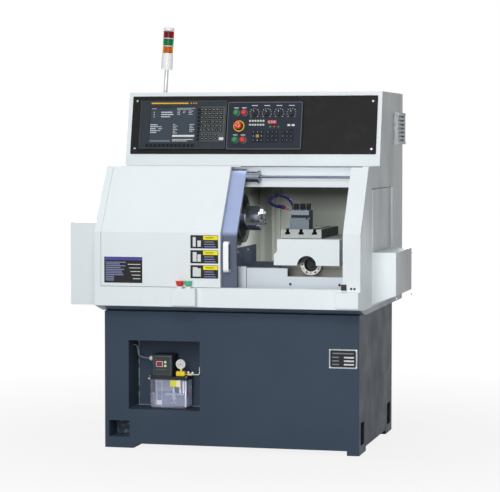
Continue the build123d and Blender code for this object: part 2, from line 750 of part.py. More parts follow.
def left_end_cover():
    low = BASE_TOP + LEFT_COVER_RISE
    cover = end_cover(-1, LEFT_COVER_WIDTH, LEFT_COVER_FRONT, LEFT_COVER_DEPTH, low, 0,
                      low + LEFT_COVER_HEIGHT)
    outer = -HALF - LEFT_COVER_WIDTH
    middle = LEFT_COVER_FRONT + LEFT_COVER_DEPTH / 2
    for i in range(LEFT_COVER_VENT_ROWS):
        z = low + LEFT_COVER_VENT_RISE + i * LEFT_COVER_VENT_PITCH
        cover -= block(outer - OVERRUN, outer + OVERRUN, middle - LEFT_COVER_VENT_LENGTH / 2,
                       middle + LEFT_COVER_VENT_LENGTH / 2, z, z + LEFT_COVER_VENT_HEIGHT)
    return cover - rod_x(BAR_HOLE_RADIUS, outer - OVERRUN, -HALF + OVERRUN, SPINDLE_Y, SPINDLE_Z)


# Control head
def control_panel():
    plate = block(-HALF + PLATE_EDGE_X, HALF - PLATE_EDGE_X, PLATE_EDGE_LOW, HEAD_SLOPE - PLATE_EDGE_HIGH,
                  0, PLATE_TOP)
    return HEAD_PLANE.location * upright_round(plate, PLATE_CORNER)


def key(x, s, size_x, size_y, base):
    return block(x, x + size_x, s, s + size_y, base, base + KEY_PROUD)


def display_unit():
    low = PLATE_EDGE_LOW + DISPLAY_LOW
    right, high = DISPLAY_LEFT + DISPLAY_WIDTH, low + DISPLAY_HEIGHT
    top = PLATE_TOP + DISPLAY_THICKNESS
    unit = upright_round(block(DISPLAY_LEFT, right, low, high, PLATE_TOP, top), PANEL_CORNER)
    screen_left, screen_low = DISPLAY_LEFT + SCREEN_EDGE_X, low + SCREEN_EDGE_LOW
    unit -= block(screen_left, screen_left + SCREEN_WIDTH, screen_low, screen_low + SCREEN_HEIGHT,
                  top - SCREEN_DEPTH, top + OVERRUN)
    for row in range(KEY_ROWS):
        for column in range(KEY_COLUMNS):
            x = right - KEY_EDGE_RIGHT - KEY_SIZE - column * KEY_PITCH_X
            s = high - KEY_EDGE_HIGH - KEY_SIZE - row * KEY_PITCH_Y
            unit += key(x, s, KEY_SIZE, KEY_SIZE, top)
    for i in range(SOFT_KEY_COUNT):
        x = screen_left - KEY_SIZE + i * SOFT_KEY_PITCH
        unit += key(x, low + SOFT_KEY_LOW, KEY_SIZE, SOFT_KEY_HEIGHT, top)
    return HEAD_PLANE.location * unit


def panel_button_places():
    rows = (OPERATOR_BASE + PANEL_BUTTON_HIGH, OPERATOR_BASE + PANEL_BUTTON_LOW)
    return [(OPERATOR_LEFT + PANEL_BUTTON_X + i * PANEL_BUTTON_PITCH, s) for s in rows for i in range(2)]


def knob_places():
    return [(OPERATOR_LEFT + KNOB_X + i * KNOB_PITCH, OPERATOR_BASE + KNOB_LOW) for i in range(4)]


def collar_height():
    return BUTTON_TRAVEL + 2 * FACE_GAP


def operator_panel():
    right, high = OPERATOR_LEFT + OPERATOR_WIDTH, OPERATOR_BASE + OPERATOR_HEIGHT
    panel = block(OPERATOR_LEFT, right, OPERATOR_BASE, high, PLATE_TOP, OPERATOR_TOP)
    panel = upright_round(panel, PANEL_CORNER)
    estop_x, estop_s = OPERATOR_LEFT + ESTOP_X, OPERATOR_BASE + ESTOP_LOW
    panel += rod_z(ESTOP_COLLAR_RADIUS, OPERATOR_TOP, OPERATOR_TOP + ESTOP_COLLAR_HEIGHT, estop_x, estop_s)
    stem_end = OPERATOR_TOP - BUTTON_STEM_LENGTH - ESTOP_TRAVEL
    for x, s in panel_button_places():
        collar_top = OPERATOR_TOP + collar_height()
        panel += rod_z(PANEL_BUTTON_RADIUS + SHEET, OPERATOR_TOP, collar_top, x, s)
        panel -= rod_z(PANEL_BUTTON_RADIUS + RUN_GAP, OPERATOR_TOP, collar_top + OVERRUN, x, s)
    for x, s in panel_button_places() + knob_places() + [(estop_x, estop_s)]:
        hole_top = OPERATOR_TOP + ESTOP_COLLAR_HEIGHT + OVERRUN
        panel -= rod_z(BUTTON_STEM_RADIUS + RUN_GAP, stem_end - FACE_GAP, hole_top, x, s)
    for pad in range(3):
        for i in range(KEYPAD_COLUMNS * KEYPAD_ROWS):
            x = OPERATOR_LEFT + KEYPAD_X + pad * KEYPAD_PITCH + (i % KEYPAD_COLUMNS) * KEYPAD_KEY_PITCH
            s = OPERATOR_BASE + KEYPAD_LOW + (i // KEYPAD_COLUMNS) * KEYPAD_KEY_PITCH
            panel += key(x, s, KEYPAD_KEY_SIZE, KEYPAD_KEY_SIZE, OPERATOR_TOP)
    return HEAD_PLANE.location * panel


def panel_button(x, s):
    low = OPERATOR_TOP + BUTTON_TRAVEL + FACE_GAP
    cap = rod_z(PANEL_BUTTON_RADIUS, low, low + PANEL_BUTTON_HEIGHT, x, s)
    cap = fillet(cap.edges().group_by(Axis.Z)[-1], BUTTON_TRAVEL / 2)
    cap += rod_z(BUTTON_STEM_RADIUS, OPERATOR_TOP - BUTTON_STEM_LENGTH, low, x, s)
    return HEAD_PLANE.location * cap


def estop_button():
    x, s = OPERATOR_LEFT + ESTOP_X, OPERATOR_BASE + ESTOP_LOW
    low = OPERATOR_TOP + ESTOP_COLLAR_HEIGHT + ESTOP_TRAVEL + FACE_GAP
    cap = rod_z(ESTOP_RADIUS, low, low + ESTOP_HEIGHT, x, s)
    cap = fillet(cap.edges().group_by(Axis.Z)[-1], ESTOP_HEIGHT / 2)
    cap += rod_z(BUTTON_STEM_RADIUS, OPERATOR_TOP - BUTTON_STEM_LENGTH, low, x, s)
    return HEAD_PLANE.location * cap


def knob(x, s):
    low = OPERATOR_TOP + RUN_GAP
    skirt = rod_z(KNOB_RADIUS, low, low + KNOB_HEIGHT / 3, x, s)
    grip = rod_z(KNOB_RADIUS - FACE_GAP, low, low + KNOB_HEIGHT, x, s)
    for side in (-1, 1):
        near, far = side * KNOB_GRIP_WIDTH / 2, side * (KNOB_RADIUS + OVERRUN)
        grip -= block(x + min(near, far), x + max(near, far),
                      s - KNOB_RADIUS - OVERRUN, s + KNOB_RADIUS + OVERRUN,
                      low + KNOB_HEIGHT / 3, low + KNOB_HEIGHT + OVERRUN)
    stem = rod_z(BUTTON_STEM_RADIUS, OPERATOR_TOP - BUTTON_STEM_LENGTH, low, x, s)
    return HEAD_PLANE.location * (skirt + grip + stem)


def lip_button(x):
    low = BOX_TOP + LIP_COLLAR_HEIGHT + LIP_BUTTON_TRAVEL + FACE_GAP
    cone = Pos(x, LIP_BUTTON_Y, low + LIP_BUTTON_HEIGHT / 2)
    cap = cone * Cone(LIP_BUTTON_WAIST, LIP_BUTTON_RADIUS, LIP_BUTTON_HEIGHT)
    stem_end = BOX_TOP + LIP_COLLAR_HEIGHT - LIP_STEM_LENGTH
    return cap + rod_z(LIP_STEM_RADIUS, stem_end, low, x, LIP_BUTTON_Y)


# Light tower
def tower_pole():
    foot = Pos(TOWER_X, HEAD_FRONT + TOWER_SETBACK, HEAD_TOP + TOWER_FOOT_HEIGHT / 2)
    foot *= Cone(TOWER_FOOT_RADIUS, TOWER_POLE_RADIUS, TOWER_FOOT_HEIGHT)
    return foot + TOWER * rod_z(TOWER_POLE_RADIUS, TOWER_FOOT_HEIGHT / 2, TOWER_POLE_LENGTH, 0, 0)


def lens_low(i):
    body_top = TOWER_POLE_LENGTH + TOWER_BODY_HEIGHT
    return body_top + i * (TOWER_LENS_HEIGHT + TOWER_LENS_GAP)


def tower_housing():
    housing = rod_z(TOWER_RADIUS, TOWER_POLE_LENGTH, TOWER_POLE_LENGTH + TOWER_BODY_HEIGHT, 0, 0)
    cap = rod_z(TOWER_LENS_RADIUS, lens_low(3), lens_low(3) + TOWER_CAP_HEIGHT, 0, 0)
    cap = fillet(cap.edges().group_by(Axis.Z)[-1], TOWER_CAP_HEIGHT / 2)
    housing += rod_z(TOWER_SOCKET_RADIUS, lens_low(0), lens_low(3), 0, 0)
    return TOWER * (housing + cap)


def tower_lens(i):
    low = lens_low(i)
    lens = rod_z(TOWER_LENS_RADIUS, low, low + TOWER_LENS_HEIGHT, 0, 0)
    socket = rod_z(TOWER_SOCKET_RADIUS, low - OVERRUN, low + TOWER_LENS_HEIGHT + OVERRUN, 0, 0)
    return TOWER * (lens - socket)


# Lubricator in the base recess
def lube_tank():
    def hull(inset, low, high):
        x0, x1 = TANK_X + inset, TANK_X + TANK_WIDTH - inset
        y0, y1 = TANK_FRONT + inset, TANK_FRONT + TANK_DEPTH - inset
        foot = block(x0 + TANK_TAPER, x1 - TANK_TAPER, y0 + TANK_TAPER, y1 - TANK_TAPER, low, high)
        foot = upright_round(foot, TANK_CORNER - inset)
        rim = upright_round(block(x0, x1, y0, y1, low, high), TANK_CORNER - inset)
        return loft([foot.faces().sort_by(Axis.Z)[0], rim.faces().sort_by(Axis.Z)[-1]])
    return hull(0, RECESS_FLOOR, TANK_TOP) - hull(TANK_WALL, RECESS_FLOOR + TANK_WALL, TANK_TOP)


def lube_pump():
    x0, x1 = TANK_X - LID_LAP, TANK_X + TANK_WIDTH + LID_LAP
    y0, y1 = TANK_FRONT - LID_LAP, TANK_FRONT + TANK_DEPTH + LID_LAP
    lid = upright_round(block(x0, x1, y0, y1, TANK_TOP, LID_TOP), TANK_CORNER)
    left, right = TANK_X + PUMP_EDGE, TANK_X + PUMP_EDGE + PUMP_WIDTH
    head = block(left, right, TANK_FRONT, y1 - PUMP_BACK_EDGE, LID_TOP, LID_TOP + PUMP_HEIGHT)
    head = upright_round(head, PUMP_CORNER)
    outlet_left = TANK_X + OUTLET_LEFT
    outlet = block(outlet_left, outlet_left + OUTLET_WIDTH, TANK_FRONT, TANK_FRONT + OUTLET_DEPTH,
                   LID_TOP, LID_TOP + OUTLET_HEIGHT)
    gland_z = LID_TOP + PUMP_HEIGHT - GLAND_DROP
    gland = rod_x(GLAND_RADIUS, left - GLAND_LENGTH, left, TANK_FRONT + CABLE_SETBACK, gland_z)
    return lid + head + outlet + gland


def lube_gauge():
    x = TANK_X + OUTLET_LEFT + OUTLET_WIDTH / 2
    y = TANK_FRONT + OUTLET_DEPTH / 2
    base = LID_TOP + OUTLET_HEIGHT
    z = base + GAUGE_STEM_HEIGHT + GAUGE_RADIUS
    dial = rod_y(GAUGE_RADIUS, y - GAUGE_DEPTH / 2, y + GAUGE_DEPTH / 2, x, z)
    dial -= rod_y(GAUGE_RADIUS - GAUGE_RIM, y - GAUGE_DEPTH / 2 - OVERRUN,
                  y - GAUGE_DEPTH / 2 + GAUGE_RIM, x, z)
    return dial + rod_z(GAUGE_STEM_RADIUS, base, z - GAUGE_RADIUS / 2, x, y)


def oil_pipe():
    side = TANK_X + OUTLET_LEFT + OUTLET_WIDTH
    y, z = TANK_FRONT + OUTLET_DEPTH / 2, LID_TOP + OUTLET_HEIGHT / 2
    wall = RECESS_LEFT + RECESS_WIDTH
    reach = wall - PIPE_CORNER
    points = [(side, y, z), (reach, y, z), (reach, y, z + PIPE_RISE), (wall, y, z + PIPE_RISE)]
    return tube_along(points, PIPE_CORNER / 2, PIPE_RADIUS)


def lube_cable():
    gland_x = TANK_X + PUMP_EDGE - GLAND_LENGTH
    gland_z = LID_TOP + PUMP_HEIGHT - GLAND_DROP
    start = (gland_x, TANK_FRONT + CABLE_SETBACK, gland_z)
    lead = (gland_x - 2 * GLAND_LENGTH, TANK_FRONT + CABLE_SETBACK, gland_z)
    rise = gland_z + CABLE_LIFT
    bend = (RECESS_LEFT + CABLE_EDGE, TANK_FRONT + CABLE_SETBACK, gland_z + CABLE_SAG)
    wall = (RECESS_LEFT + CABLE_EDGE, TANK_FRONT + CABLE_SETBACK, rise)
    end = (RECESS_LEFT, TANK_FRONT + CABLE_SETBACK, rise)
    return tube_along([start, lead, bend, wall, end], CABLE_CORNER, CABLE_RADIUS)


# Bed and headstock
def bed():
    body = block(BED_LEFT, BED_RIGHT, BED_FRONT, BED_BACK, TRAY_TOP, BED_TOP)
    body -= block(CHANNEL_LEFT, CHANNEL_RIGHT, Z_SCREW_Y - CHANNEL_WIDTH / 2, Z_SCREW_Y + CHANNEL_WIDTH / 2,
                  BED_TOP - CHANNEL_DEPTH, BED_TOP + OVERRUN)
    bore = Z_JOURNAL_RADIUS + BEARING_GAP
    return body - rod_x(bore, CHANNEL_LEFT - CHANNEL_END_WALL, BED_RIGHT + OVERRUN, Z_SCREW_Y, Z_SCREW_Z)


def bed_guards():
    back = GUARD_FRONT + SHEET
    post_right = POST_LEFT + POST_WIDTH
    left_right = post_right + LEFT_GUARD_WIDTH
    left_top, right_top = BED_TOP + LEFT_GUARD_RISE, BED_TOP - RIGHT_GUARD_DROP
    right_end = left_right + RIGHT_GUARD_WIDTH
    guards = block(POST_LEFT, post_right, GUARD_FRONT - POST_PROUD, back, TRAY_TOP, BED_TOP + POST_RISE)
    guards += block(post_right, left_right, GUARD_FRONT, back, TRAY_TOP, left_top)
    guards += block(post_right, left_right, GUARD_FRONT, GUARD_FRONT + GUARD_FOLD, left_top - SHEET, left_top)
    guards += block(left_right, right_end, GUARD_FRONT, back, TRAY_TOP, right_top)
    guards += block(left_right, right_end, GUARD_FRONT, GUARD_FRONT + GUARD_FOLD,
                    right_top - SHEET, right_top)
    plate_top = BED_TOP - CHIP_PLATE_DROP
    left = PARTITION_X + FACE_GAP
    guards += block(left, left + CHIP_PLATE_WIDTH, GUARD_FRONT, BED_FRONT, plate_top - SHEET, plate_top)
    return guards


def rear_guard():
    plate_top = BED_TOP - CHIP_PLATE_DROP
    return block(PARTITION_X + FACE_GAP, INNER, BED_BACK, REAR_WALL_Y, plate_top - SHEET, plate_top)


def headstock():
    y0, y1 = SPINDLE_Y - HEADSTOCK_HALF, SPINDLE_Y + HEADSTOCK_HALF
    right = PARTITION_X - HEADSTOCK_GAP
    housing = block(HEADSTOCK_LEFT, right, y0, y1, PLINTH_TOP, SPINDLE_Z + HEADSTOCK_TOP)
    top_edges = housing.edges().filter_by(Axis.X).group_by(Axis.Z)[-1]
    housing = fillet(top_edges, HEADSTOCK_ROUND)
    for x0, x1 in ((HEADSTOCK_LEFT - CAP_LENGTH, HEADSTOCK_LEFT), (right, right + CAP_LENGTH)):
        housing += rod_x(CAP_RADIUS, x0, x1, SPINDLE_Y, SPINDLE_Z)
    plinth = block(PLINTH_LEFT, PARTITION_X + PLINTH_PROUD, BED_FRONT + PLINTH_FRONT, BED_BACK,
                   BED_TOP, PLINTH_TOP)
    bore = rod_x(SPINDLE_RADIUS + BEARING_GAP, PLINTH_LEFT, PARTITION_X, SPINDLE_Y, SPINDLE_Z)
    return housing + plinth - bore


def spindle():
    shaft = rod_x(SPINDLE_RADIUS, SPINDLE_REAR, DISC_BACK, SPINDLE_Y, SPINDLE_Z)
    disc = rod_x(DISC_RADIUS, DISC_BACK, DISC_BACK + DISC_RIM, SPINDLE_Y, SPINDLE_Z)
    hub_x = (DISC_BACK + DISC_RIM + DISC_FRONT) / 2
    hub = Pos(hub_x, SPINDLE_Y, SPINDLE_Z) * Rot(0, 90, 0)
    hub *= Cone(DISC_RADIUS - DISC_RIM, DISC_HUB_RADIUS, DISC_THICKNESS - DISC_RIM)
    bore = rod_x(SPINDLE_BORE_RADIUS, SPINDLE_REAR - OVERRUN, DISC_FRONT + OVERRUN, SPINDLE_Y, SPINDLE_Z)
    return shaft + disc + hub - bore


def chuck_body():
    body = rod_x(CHUCK_RADIUS, DISC_FRONT, CHUCK_FRONT, SPINDLE_Y, SPINDLE_Z)
    body = chamfer(body.edges().group_by(Axis.X)[-1], CHUCK_CHAMFER)
    body -= rod_x(CHUCK_BORE_RADIUS, DISC_FRONT - OVERRUN, CHUCK_FRONT + OVERRUN, SPINDLE_Y, SPINDLE_Z)
    half = JAW_WIDTH / 2 + RUN_GAP
    groove = block(CHUCK_FRONT - JAW_GROOVE_DEPTH, CHUCK_FRONT + OVERRUN, -half, half,
                   CHUCK_BORE_RADIUS - OVERRUN, CHUCK_RADIUS + OVERRUN)
    for i in range(JAW_COUNT):
        body -= Pos(0, SPINDLE_Y, SPINDLE_Z) * Rot(360 / JAW_COUNT * i, 0, 0) * groove
    return body


def chuck_jaw(i):
    half = JAW_WIDTH / 2
    jaw = block(CHUCK_FRONT - JAW_GROOVE_DEPTH + RUN_GAP, CHUCK_FRONT, -half, half, JAW_INNER, JAW_OUTER)
    jaw += block(CHUCK_FRONT, CHUCK_FRONT + JAW_STEP_PROUD, -half, half, JAW_INNER, JAW_OUTER - JAW_STEP / 2)
    jaw += block(CHUCK_FRONT, CHUCK_FRONT + JAW_PROUD, -half, half, JAW_INNER, JAW_INNER + JAW_STEP)
    return Pos(0, SPINDLE_Y, SPINDLE_Z) * Rot(360 / JAW_COUNT * i, 0, 0) * jaw


def pulley(radius, y, z):
    body = rod_x(radius, PULLEY_LEFT, PULLEY_LEFT + PULLEY_WIDTH, y, z)
    for x in (PULLEY_LEFT, PULLEY_LEFT + PULLEY_WIDTH - PULLEY_RIM):
        body += rod_x(radius + PULLEY_RIM_HEIGHT, x, x + PULLEY_RIM, y, z)
    return body


def spindle_pulley():
    x0, x1 = PULLEY_LEFT - OVERRUN, PULLEY_LEFT + PULLEY_WIDTH + OVERRUN
    wheel = pulley(SPINDLE_PULLEY_RADIUS, SPINDLE_Y, SPINDLE_Z)
    return wheel - rod_x(SPINDLE_RADIUS, x0, x1, SPINDLE_Y, SPINDLE_Z)


def motor_pulley():
    shaft = rod_x(MOTOR_SHAFT_RADIUS, PULLEY_LEFT, MOTOR_LEFT + MOTOR_SHAFT_SEAT - FACE_GAP, MOTOR_Y, MOTOR_Z)
    return pulley(MOTOR_PULLEY_RADIUS, MOTOR_Y, MOTOR_Z) + shaft


def drive_belt():
    def loop(offset):
        rims = (Pos(SPINDLE_Y, SPINDLE_Z) * Circle(SPINDLE_PULLEY_RADIUS + offset),
                Pos(MOTOR_Y, MOTOR_Z) * Circle(MOTOR_PULLEY_RADIUS + offset))
        return make_hull([edge for rim in rims for edge in rim.edges()])
    ring = loop(RUN_GAP + BELT_THICKNESS) - loop(RUN_GAP)
    width = PULLEY_WIDTH - 2 * PULLEY_RIM - 2 * FACE_GAP
    return Pos(PULLEY_LEFT + PULLEY_RIM + FACE_GAP, 0, 0) * extrude(Plane.YZ * ring, amount=width)


def spindle_motor():
    right = MOTOR_LEFT + MOTOR_LENGTH
    body = rod_x(MOTOR_RADIUS, MOTOR_LEFT, right, MOTOR_Y, MOTOR_Z)
    pitch = MOTOR_LENGTH / (MOTOR_FIN_COUNT + 1)
    for i in range(MOTOR_FIN_COUNT):
        x = MOTOR_LEFT + pitch * (i + 1)
        ring = rod_x(MOTOR_RADIUS + OVERRUN, x - MOTOR_FIN_WIDTH / 2, x + MOTOR_FIN_WIDTH / 2,
                     MOTOR_Y, MOTOR_Z)
        body -= ring - rod_x(MOTOR_RADIUS - MOTOR_FIN_DEPTH, x - MOTOR_FIN_WIDTH, x + MOTOR_FIN_WIDTH,
                             MOTOR_Y, MOTOR_Z)
    half = MOTOR_FOOT_WIDTH / 2
    body += block(MOTOR_LEFT + MOTOR_FOOT_EDGE, right - MOTOR_FOOT_EDGE, MOTOR_Y - half, MOTOR_Y + half,
                  PLINTH_TOP, MOTOR_Z)
    bore = MOTOR_SHAFT_RADIUS + BEARING_GAP
    return body - rod_x(bore, MOTOR_LEFT - OVERRUN, MOTOR_LEFT + MOTOR_SHAFT_SEAT, MOTOR_Y, MOTOR_Z)


def z_servo():
    half = SERVO_SIZE / 2
    x1 = HALF + LANTERN_LENGTH
    body = block(x1, x1 + SERVO_LENGTH, Z_SCREW_Y - half, Z_SCREW_Y + half,
                 Z_SCREW_Z - half, Z_SCREW_Z + half)
    lantern = rod_x(half, HALF, x1, Z_SCREW_Y, Z_SCREW_Z)
    return body + lantern - rod_x(half - LANTERN_WALL, HALF - OVERRUN, x1, Z_SCREW_Y, Z_SCREW_Z)


def z_ballscrew():
    x0, x1 = CHANNEL_LEFT + Z_SCREW_END_GAP, CHANNEL_RIGHT - Z_SCREW_END_GAP
    screw = rod_x(Z_SCREW_RADIUS, x0, x1, Z_SCREW_Y, Z_SCREW_Z)
    left, right = CHANNEL_LEFT - CHANNEL_END_WALL + Z_SCREW_END_GAP, HALF + Z_SCREW_STUB
    return screw + rod_x(Z_JOURNAL_RADIUS, left, right, Z_SCREW_Y, Z_SCREW_Z)


# Carriage
def saddle():
    body = block(SADDLE_LEFT, SADDLE_RIGHT, SADDLE_FRONT, SADDLE_BACK, SADDLE_BOTTOM, SADDLE_TOP)
    half = CHANNEL_WIDTH / 2 - RUN_GAP
    body += block(TONGUE_LEFT, TONGUE_LEFT + TONGUE_WIDTH, Z_SCREW_Y - half, Z_SCREW_Y + half,
                  BED_TOP - TONGUE_DEPTH, SADDLE_BOTTOM)
    body += rod_y(RING_RADIUS, SADDLE_FRONT - RING_LENGTH, SADDLE_FRONT, X_SCREW_X, X_SCREW_Z)
    body -= block(X_SCREW_X - X_SLOT_WIDTH / 2, X_SCREW_X + X_SLOT_WIDTH / 2, X_SLOT_FRONT, X_SLOT_BACK,
                  SADDLE_BOTTOM, SADDLE_TOP + OVERRUN)
    ring_front = SADDLE_FRONT - RING_LENGTH
    body -= rod_y(RING_BORE_RADIUS, ring_front - OVERRUN, SADDLE_FRONT - OVERRUN, X_SCREW_X, X_SCREW_Z)
    body -= rod_y(X_SCREW_RADIUS + BEARING_GAP, ring_front, SADDLE_BACK + OVERRUN, X_SCREW_X, X_SCREW_Z)
    for i in range(RING_BOLT_COUNT):
        angle = 2 * math.pi * i / RING_BOLT_COUNT
        middle = (RING_RADIUS + RING_BORE_RADIUS) / 2
        x, z = X_SCREW_X + middle * math.sin(angle), X_SCREW_Z + middle * math.cos(angle)
        body -= rod_y(RING_BOLT_RADIUS, ring_front - OVERRUN, ring_front + RING_BOLT_DEPTH, x, z)
    return body - rod_x(Z_SCREW_RADIUS + RUN_GAP, TONGUE_LEFT - OVERRUN,
                        TONGUE_LEFT + TONGUE_WIDTH + OVERRUN, Z_SCREW_Y, Z_SCREW_Z)


def saddle_cover():
    y0, y1 = SADDLE_COVER_FRONT, SADDLE_COVER_FRONT + SHEET
    step_top = COVER_BOTTOM + SADDLE_COVER_STEP_HEIGHT
    outline = [(SADDLE_LEFT - SADDLE_COVER_STEP, COVER_BOTTOM), (SADDLE_RIGHT, COVER_BOTTOM),
               (SADDLE_RIGHT, COVER_TOP), (SADDLE_LEFT, COVER_TOP),
               (SADDLE_LEFT, step_top + SADDLE_COVER_STEP_SLOPE), (SADDLE_LEFT - SADDLE_COVER_STEP, step_top)]
    face = make_face(Polyline(*[(x, y0, z) for x, z in outline], close=True))
    cover = extrude(face, amount=SHEET, dir=(0, 1, 0))
    cover -= rod_y(ARCH_RADIUS, y0 - OVERRUN, y1 + OVERRUN, ARCH_X, COVER_BOTTOM)
    cover += block(SADDLE_LEFT, SADDLE_RIGHT, y0, SADDLE_FRONT, COVER_TOP - SHEET, COVER_TOP)
    for x in (SADDLE_LEFT, SADDLE_RIGHT - SHEET):
        cover += block(x, x + SHEET, y0, SADDLE_FRONT, COVER_BOTTOM, COVER_TOP)
    return cover


def slot_places():
    middle = SLIDE_LEFT + SLIDE_WIDTH / 2
    return [middle + (i - (SLOT_COUNT - 1) / 2) * SLOT_PITCH for i in range(SLOT_COUNT)]


def cross_slide():
    back = SADDLE_BACK - SLIDE_BACK_GAP
    body = block(SLIDE_LEFT, SLIDE_LEFT + SLIDE_WIDTH, SLIDE_FRONT, back, SLIDE_BOTTOM, SLIDE_TOP)
    for x in slot_places():
        neck_low = SLIDE_TOP - SLOT_NECK_DEPTH
        body -= block(x - SLOT_NECK / 2, x + SLOT_NECK / 2, SLIDE_FRONT - OVERRUN, back + OVERRUN,
                      neck_low, SLIDE_TOP + OVERRUN)
        body -= block(x - SLOT_FOOT / 2, x + SLOT_FOOT / 2, SLIDE_FRONT - OVERRUN, back + OVERRUN,
                      neck_low - SLOT_FOOT_HEIGHT, neck_low)
    half = X_SLOT_WIDTH / 2 - RUN_GAP
    tongue_back = SLIDE_TONGUE_FRONT + SLIDE_TONGUE_DEPTH
    body += block(X_SCREW_X - half, X_SCREW_X + half, SLIDE_TONGUE_FRONT, tongue_back,
                  SLIDE_BOTTOM - SLIDE_TONGUE_HEIGHT, SLIDE_BOTTOM)
    nut_y = (SLIDE_TONGUE_FRONT + tongue_back) / 2
    body += block(X_SCREW_X - NUT_WIDTH / 2, X_SCREW_X + NUT_WIDTH / 2,
                  nut_y - NUT_DEPTH / 2, nut_y + NUT_DEPTH / 2, X_SCREW_Z - NUT_BELOW, SLIDE_BOTTOM)
    return body - rod_y(X_SCREW_RADIUS + RUN_GAP, SLIDE_TONGUE_FRONT, tongue_back, X_SCREW_X, X_SCREW_Z)


def x_ballscrew():
    front = SADDLE_FRONT - X_SCREW_NOSE
    return rod_y(X_SCREW_RADIUS, front, SADDLE_BACK - Z_SCREW_END_GAP, X_SCREW_X, X_SCREW_Z)


def tool_post():
    x0, x1 = POST_X, POST_X + TOOL_POST_WIDTH
    y0, y1 = POST_FRONT, POST_FRONT + POST_DEPTH
    neck_low = SLIDE_TOP + POST_BLOCK_HEIGHT
    slot_low = neck_low + POST_NECK_HEIGHT
    plate_low = slot_low + POST_SLOT_HEIGHT
    plate_top = plate_low + POST_PLATE_HEIGHT
    post = block(x0, x1, y0, y1, SLIDE_TOP, plate_top)
    post -= block(x1 - POST_NECK_CUT, x1 + OVERRUN, y0 - OVERRUN, y0 + POST_SLOT_DEPTH, neck_low, plate_low)
    post -= block(x0 - OVERRUN, x1 + OVERRUN, y0 - OVERRUN, y0 + POST_SLOT_DEPTH, slot_low, plate_low)
    span = TOOL_POST_WIDTH - 2 * POST_BOLT_EDGE
    for i in range(3):
        for y in (y0 + POST_BOLT_EDGE, y1 - POST_BOLT_EDGE):
            x = x0 + POST_BOLT_EDGE + span * i / 2
            hex_low = plate_top + POST_BOLT_HEIGHT - POST_BOLT_HEX_HEIGHT
            post += rod_z(POST_BOLT_RADIUS, plate_top, hex_low, x, y)
            nut = RegularPolygon(POST_BOLT_HEX, 6)
            post += Pos(x, y, hex_low) * extrude(nut, amount=POST_BOLT_HEX_HEIGHT)
    return post


def coolant_hose():
    x, y = SLIDE_LEFT + HOSE_FROM_SLIDE_LEFT, SLIDE_FRONT + HOSE_FROM_SLIDE_FRONT
    foot = Vector(x, y, SLIDE_TOP)
    half = HOSE_BASE / 2
    base = block(x - half, x + half, y - half, y + half, SLIDE_TOP, SLIDE_TOP + HOSE_BASE_HEIGHT)
    start = foot + Vector(0, 0, HOSE_BASE_HEIGHT)
    route = [foot + Vector(*point) for point in HOSE_ROUTE]
    hose = tube_along([start] + route, HOSE_CORNER, HOSE_RADIUS)
    tip, end = foot + Vector(*NOZZLE_END), route[-1]
    length = (tip - end).length
    aim = Plane(origin=end, z_dir=tip - end)
    nozzle = aim.location * Pos(0, 0, length / 2) * Cone(HOSE_RADIUS, NOZZLE_TIP_RADIUS, length)
    ball = Pos(end.X, end.Y, end.Z) * Sphere(NOZZLE_BALL_RADIUS)
    return base + hose + ball + nozzle


# Door
def door_panel():
    low = LIP_TOP - DOOR_GROOVE_ENTRY
    door = front_sheet(DOOR_LEFT, DOOR_RIGHT, low, DOOR_TOP, DOOR_INSET, SHEET)
    fold_top = DOOR_TOP - DOOR_FOLD_DROP
    for x in (DOOR_LEFT, DOOR_RIGHT - SHEET):
        door += front_sheet(x, x + SHEET, LIP_TOP + FACE_GAP, fold_top, DOOR_INSET, SHEET + DOOR_FOLD)
    x0, x1 = DOOR_LEFT + WINDOW_EDGE_LEFT, DOOR_RIGHT - WINDOW_EDGE_RIGHT
    z0 = BEND_Z + WINDOW_LOW
    return door - front_sheet(x0, x1, z0, z0 + WINDOW_HEIGHT, DOOR_INSET - OVERRUN, SHEET + 2 * OVERRUN)


def door_window():
    x0, x1 = DOOR_LEFT + WINDOW_EDGE_LEFT - WINDOW_LAP, DOOR_RIGHT - WINDOW_EDGE_RIGHT + WINDOW_LAP
    z0 = BEND_Z + WINDOW_LOW - WINDOW_LAP
    return front_sheet(x0, x1, z0, z0 + WINDOW_HEIGHT + 2 * WINDOW_LAP, DOOR_BACK_INSET, WINDOW_THICKNESS)


def door_bushing(x0, flange_right):
    z0, z1 = RAIL_Z - BUSH_BLOCK_HALF, RAIL_Z + BUSH_BLOCK_HALF
    outline = [(front_y(z0, DOOR_BACK_INSET), z0), (front_y(z1, DOOR_BACK_INSET), z1),
               (RAIL_Y, z1), (RAIL_Y, z0)]
    block_x1 = x0 + BUSH_BLOCK
    bush = slab(outline, x0, block_x1)
    tube_end = block_x1 + BUSH_LENGTH if flange_right else block_x1
    bush += rod_x(BUSH_RADIUS, x0, tube_end, RAIL_Y, RAIL_Z)
    bush += rod_x(BUSH_FLANGE_RADIUS, tube_end - BUSH_FLANGE, tube_end, RAIL_Y, RAIL_Z)
    bush -= front_sheet(x0 - OVERRUN, block_x1, RAIL_Z - 2 * BUSH_RADIUS, ROOF_Z, 0, DOOR_BACK_INSET)
    return bush - rod_x(RAIL_RADIUS + BEARING_GAP, x0 - OVERRUN, tube_end + OVERRUN, RAIL_Y, RAIL_Z)


def door_bushings():
    right = door_bushing(DOOR_RIGHT - BUSH_BLOCK, True)
    left = door_bushing(DOOR_LEFT, False)
    return [left, right]


def door_rail():
    return rod_x(RAIL_RADIUS, -INNER, INNER, RAIL_Y, RAIL_Z)


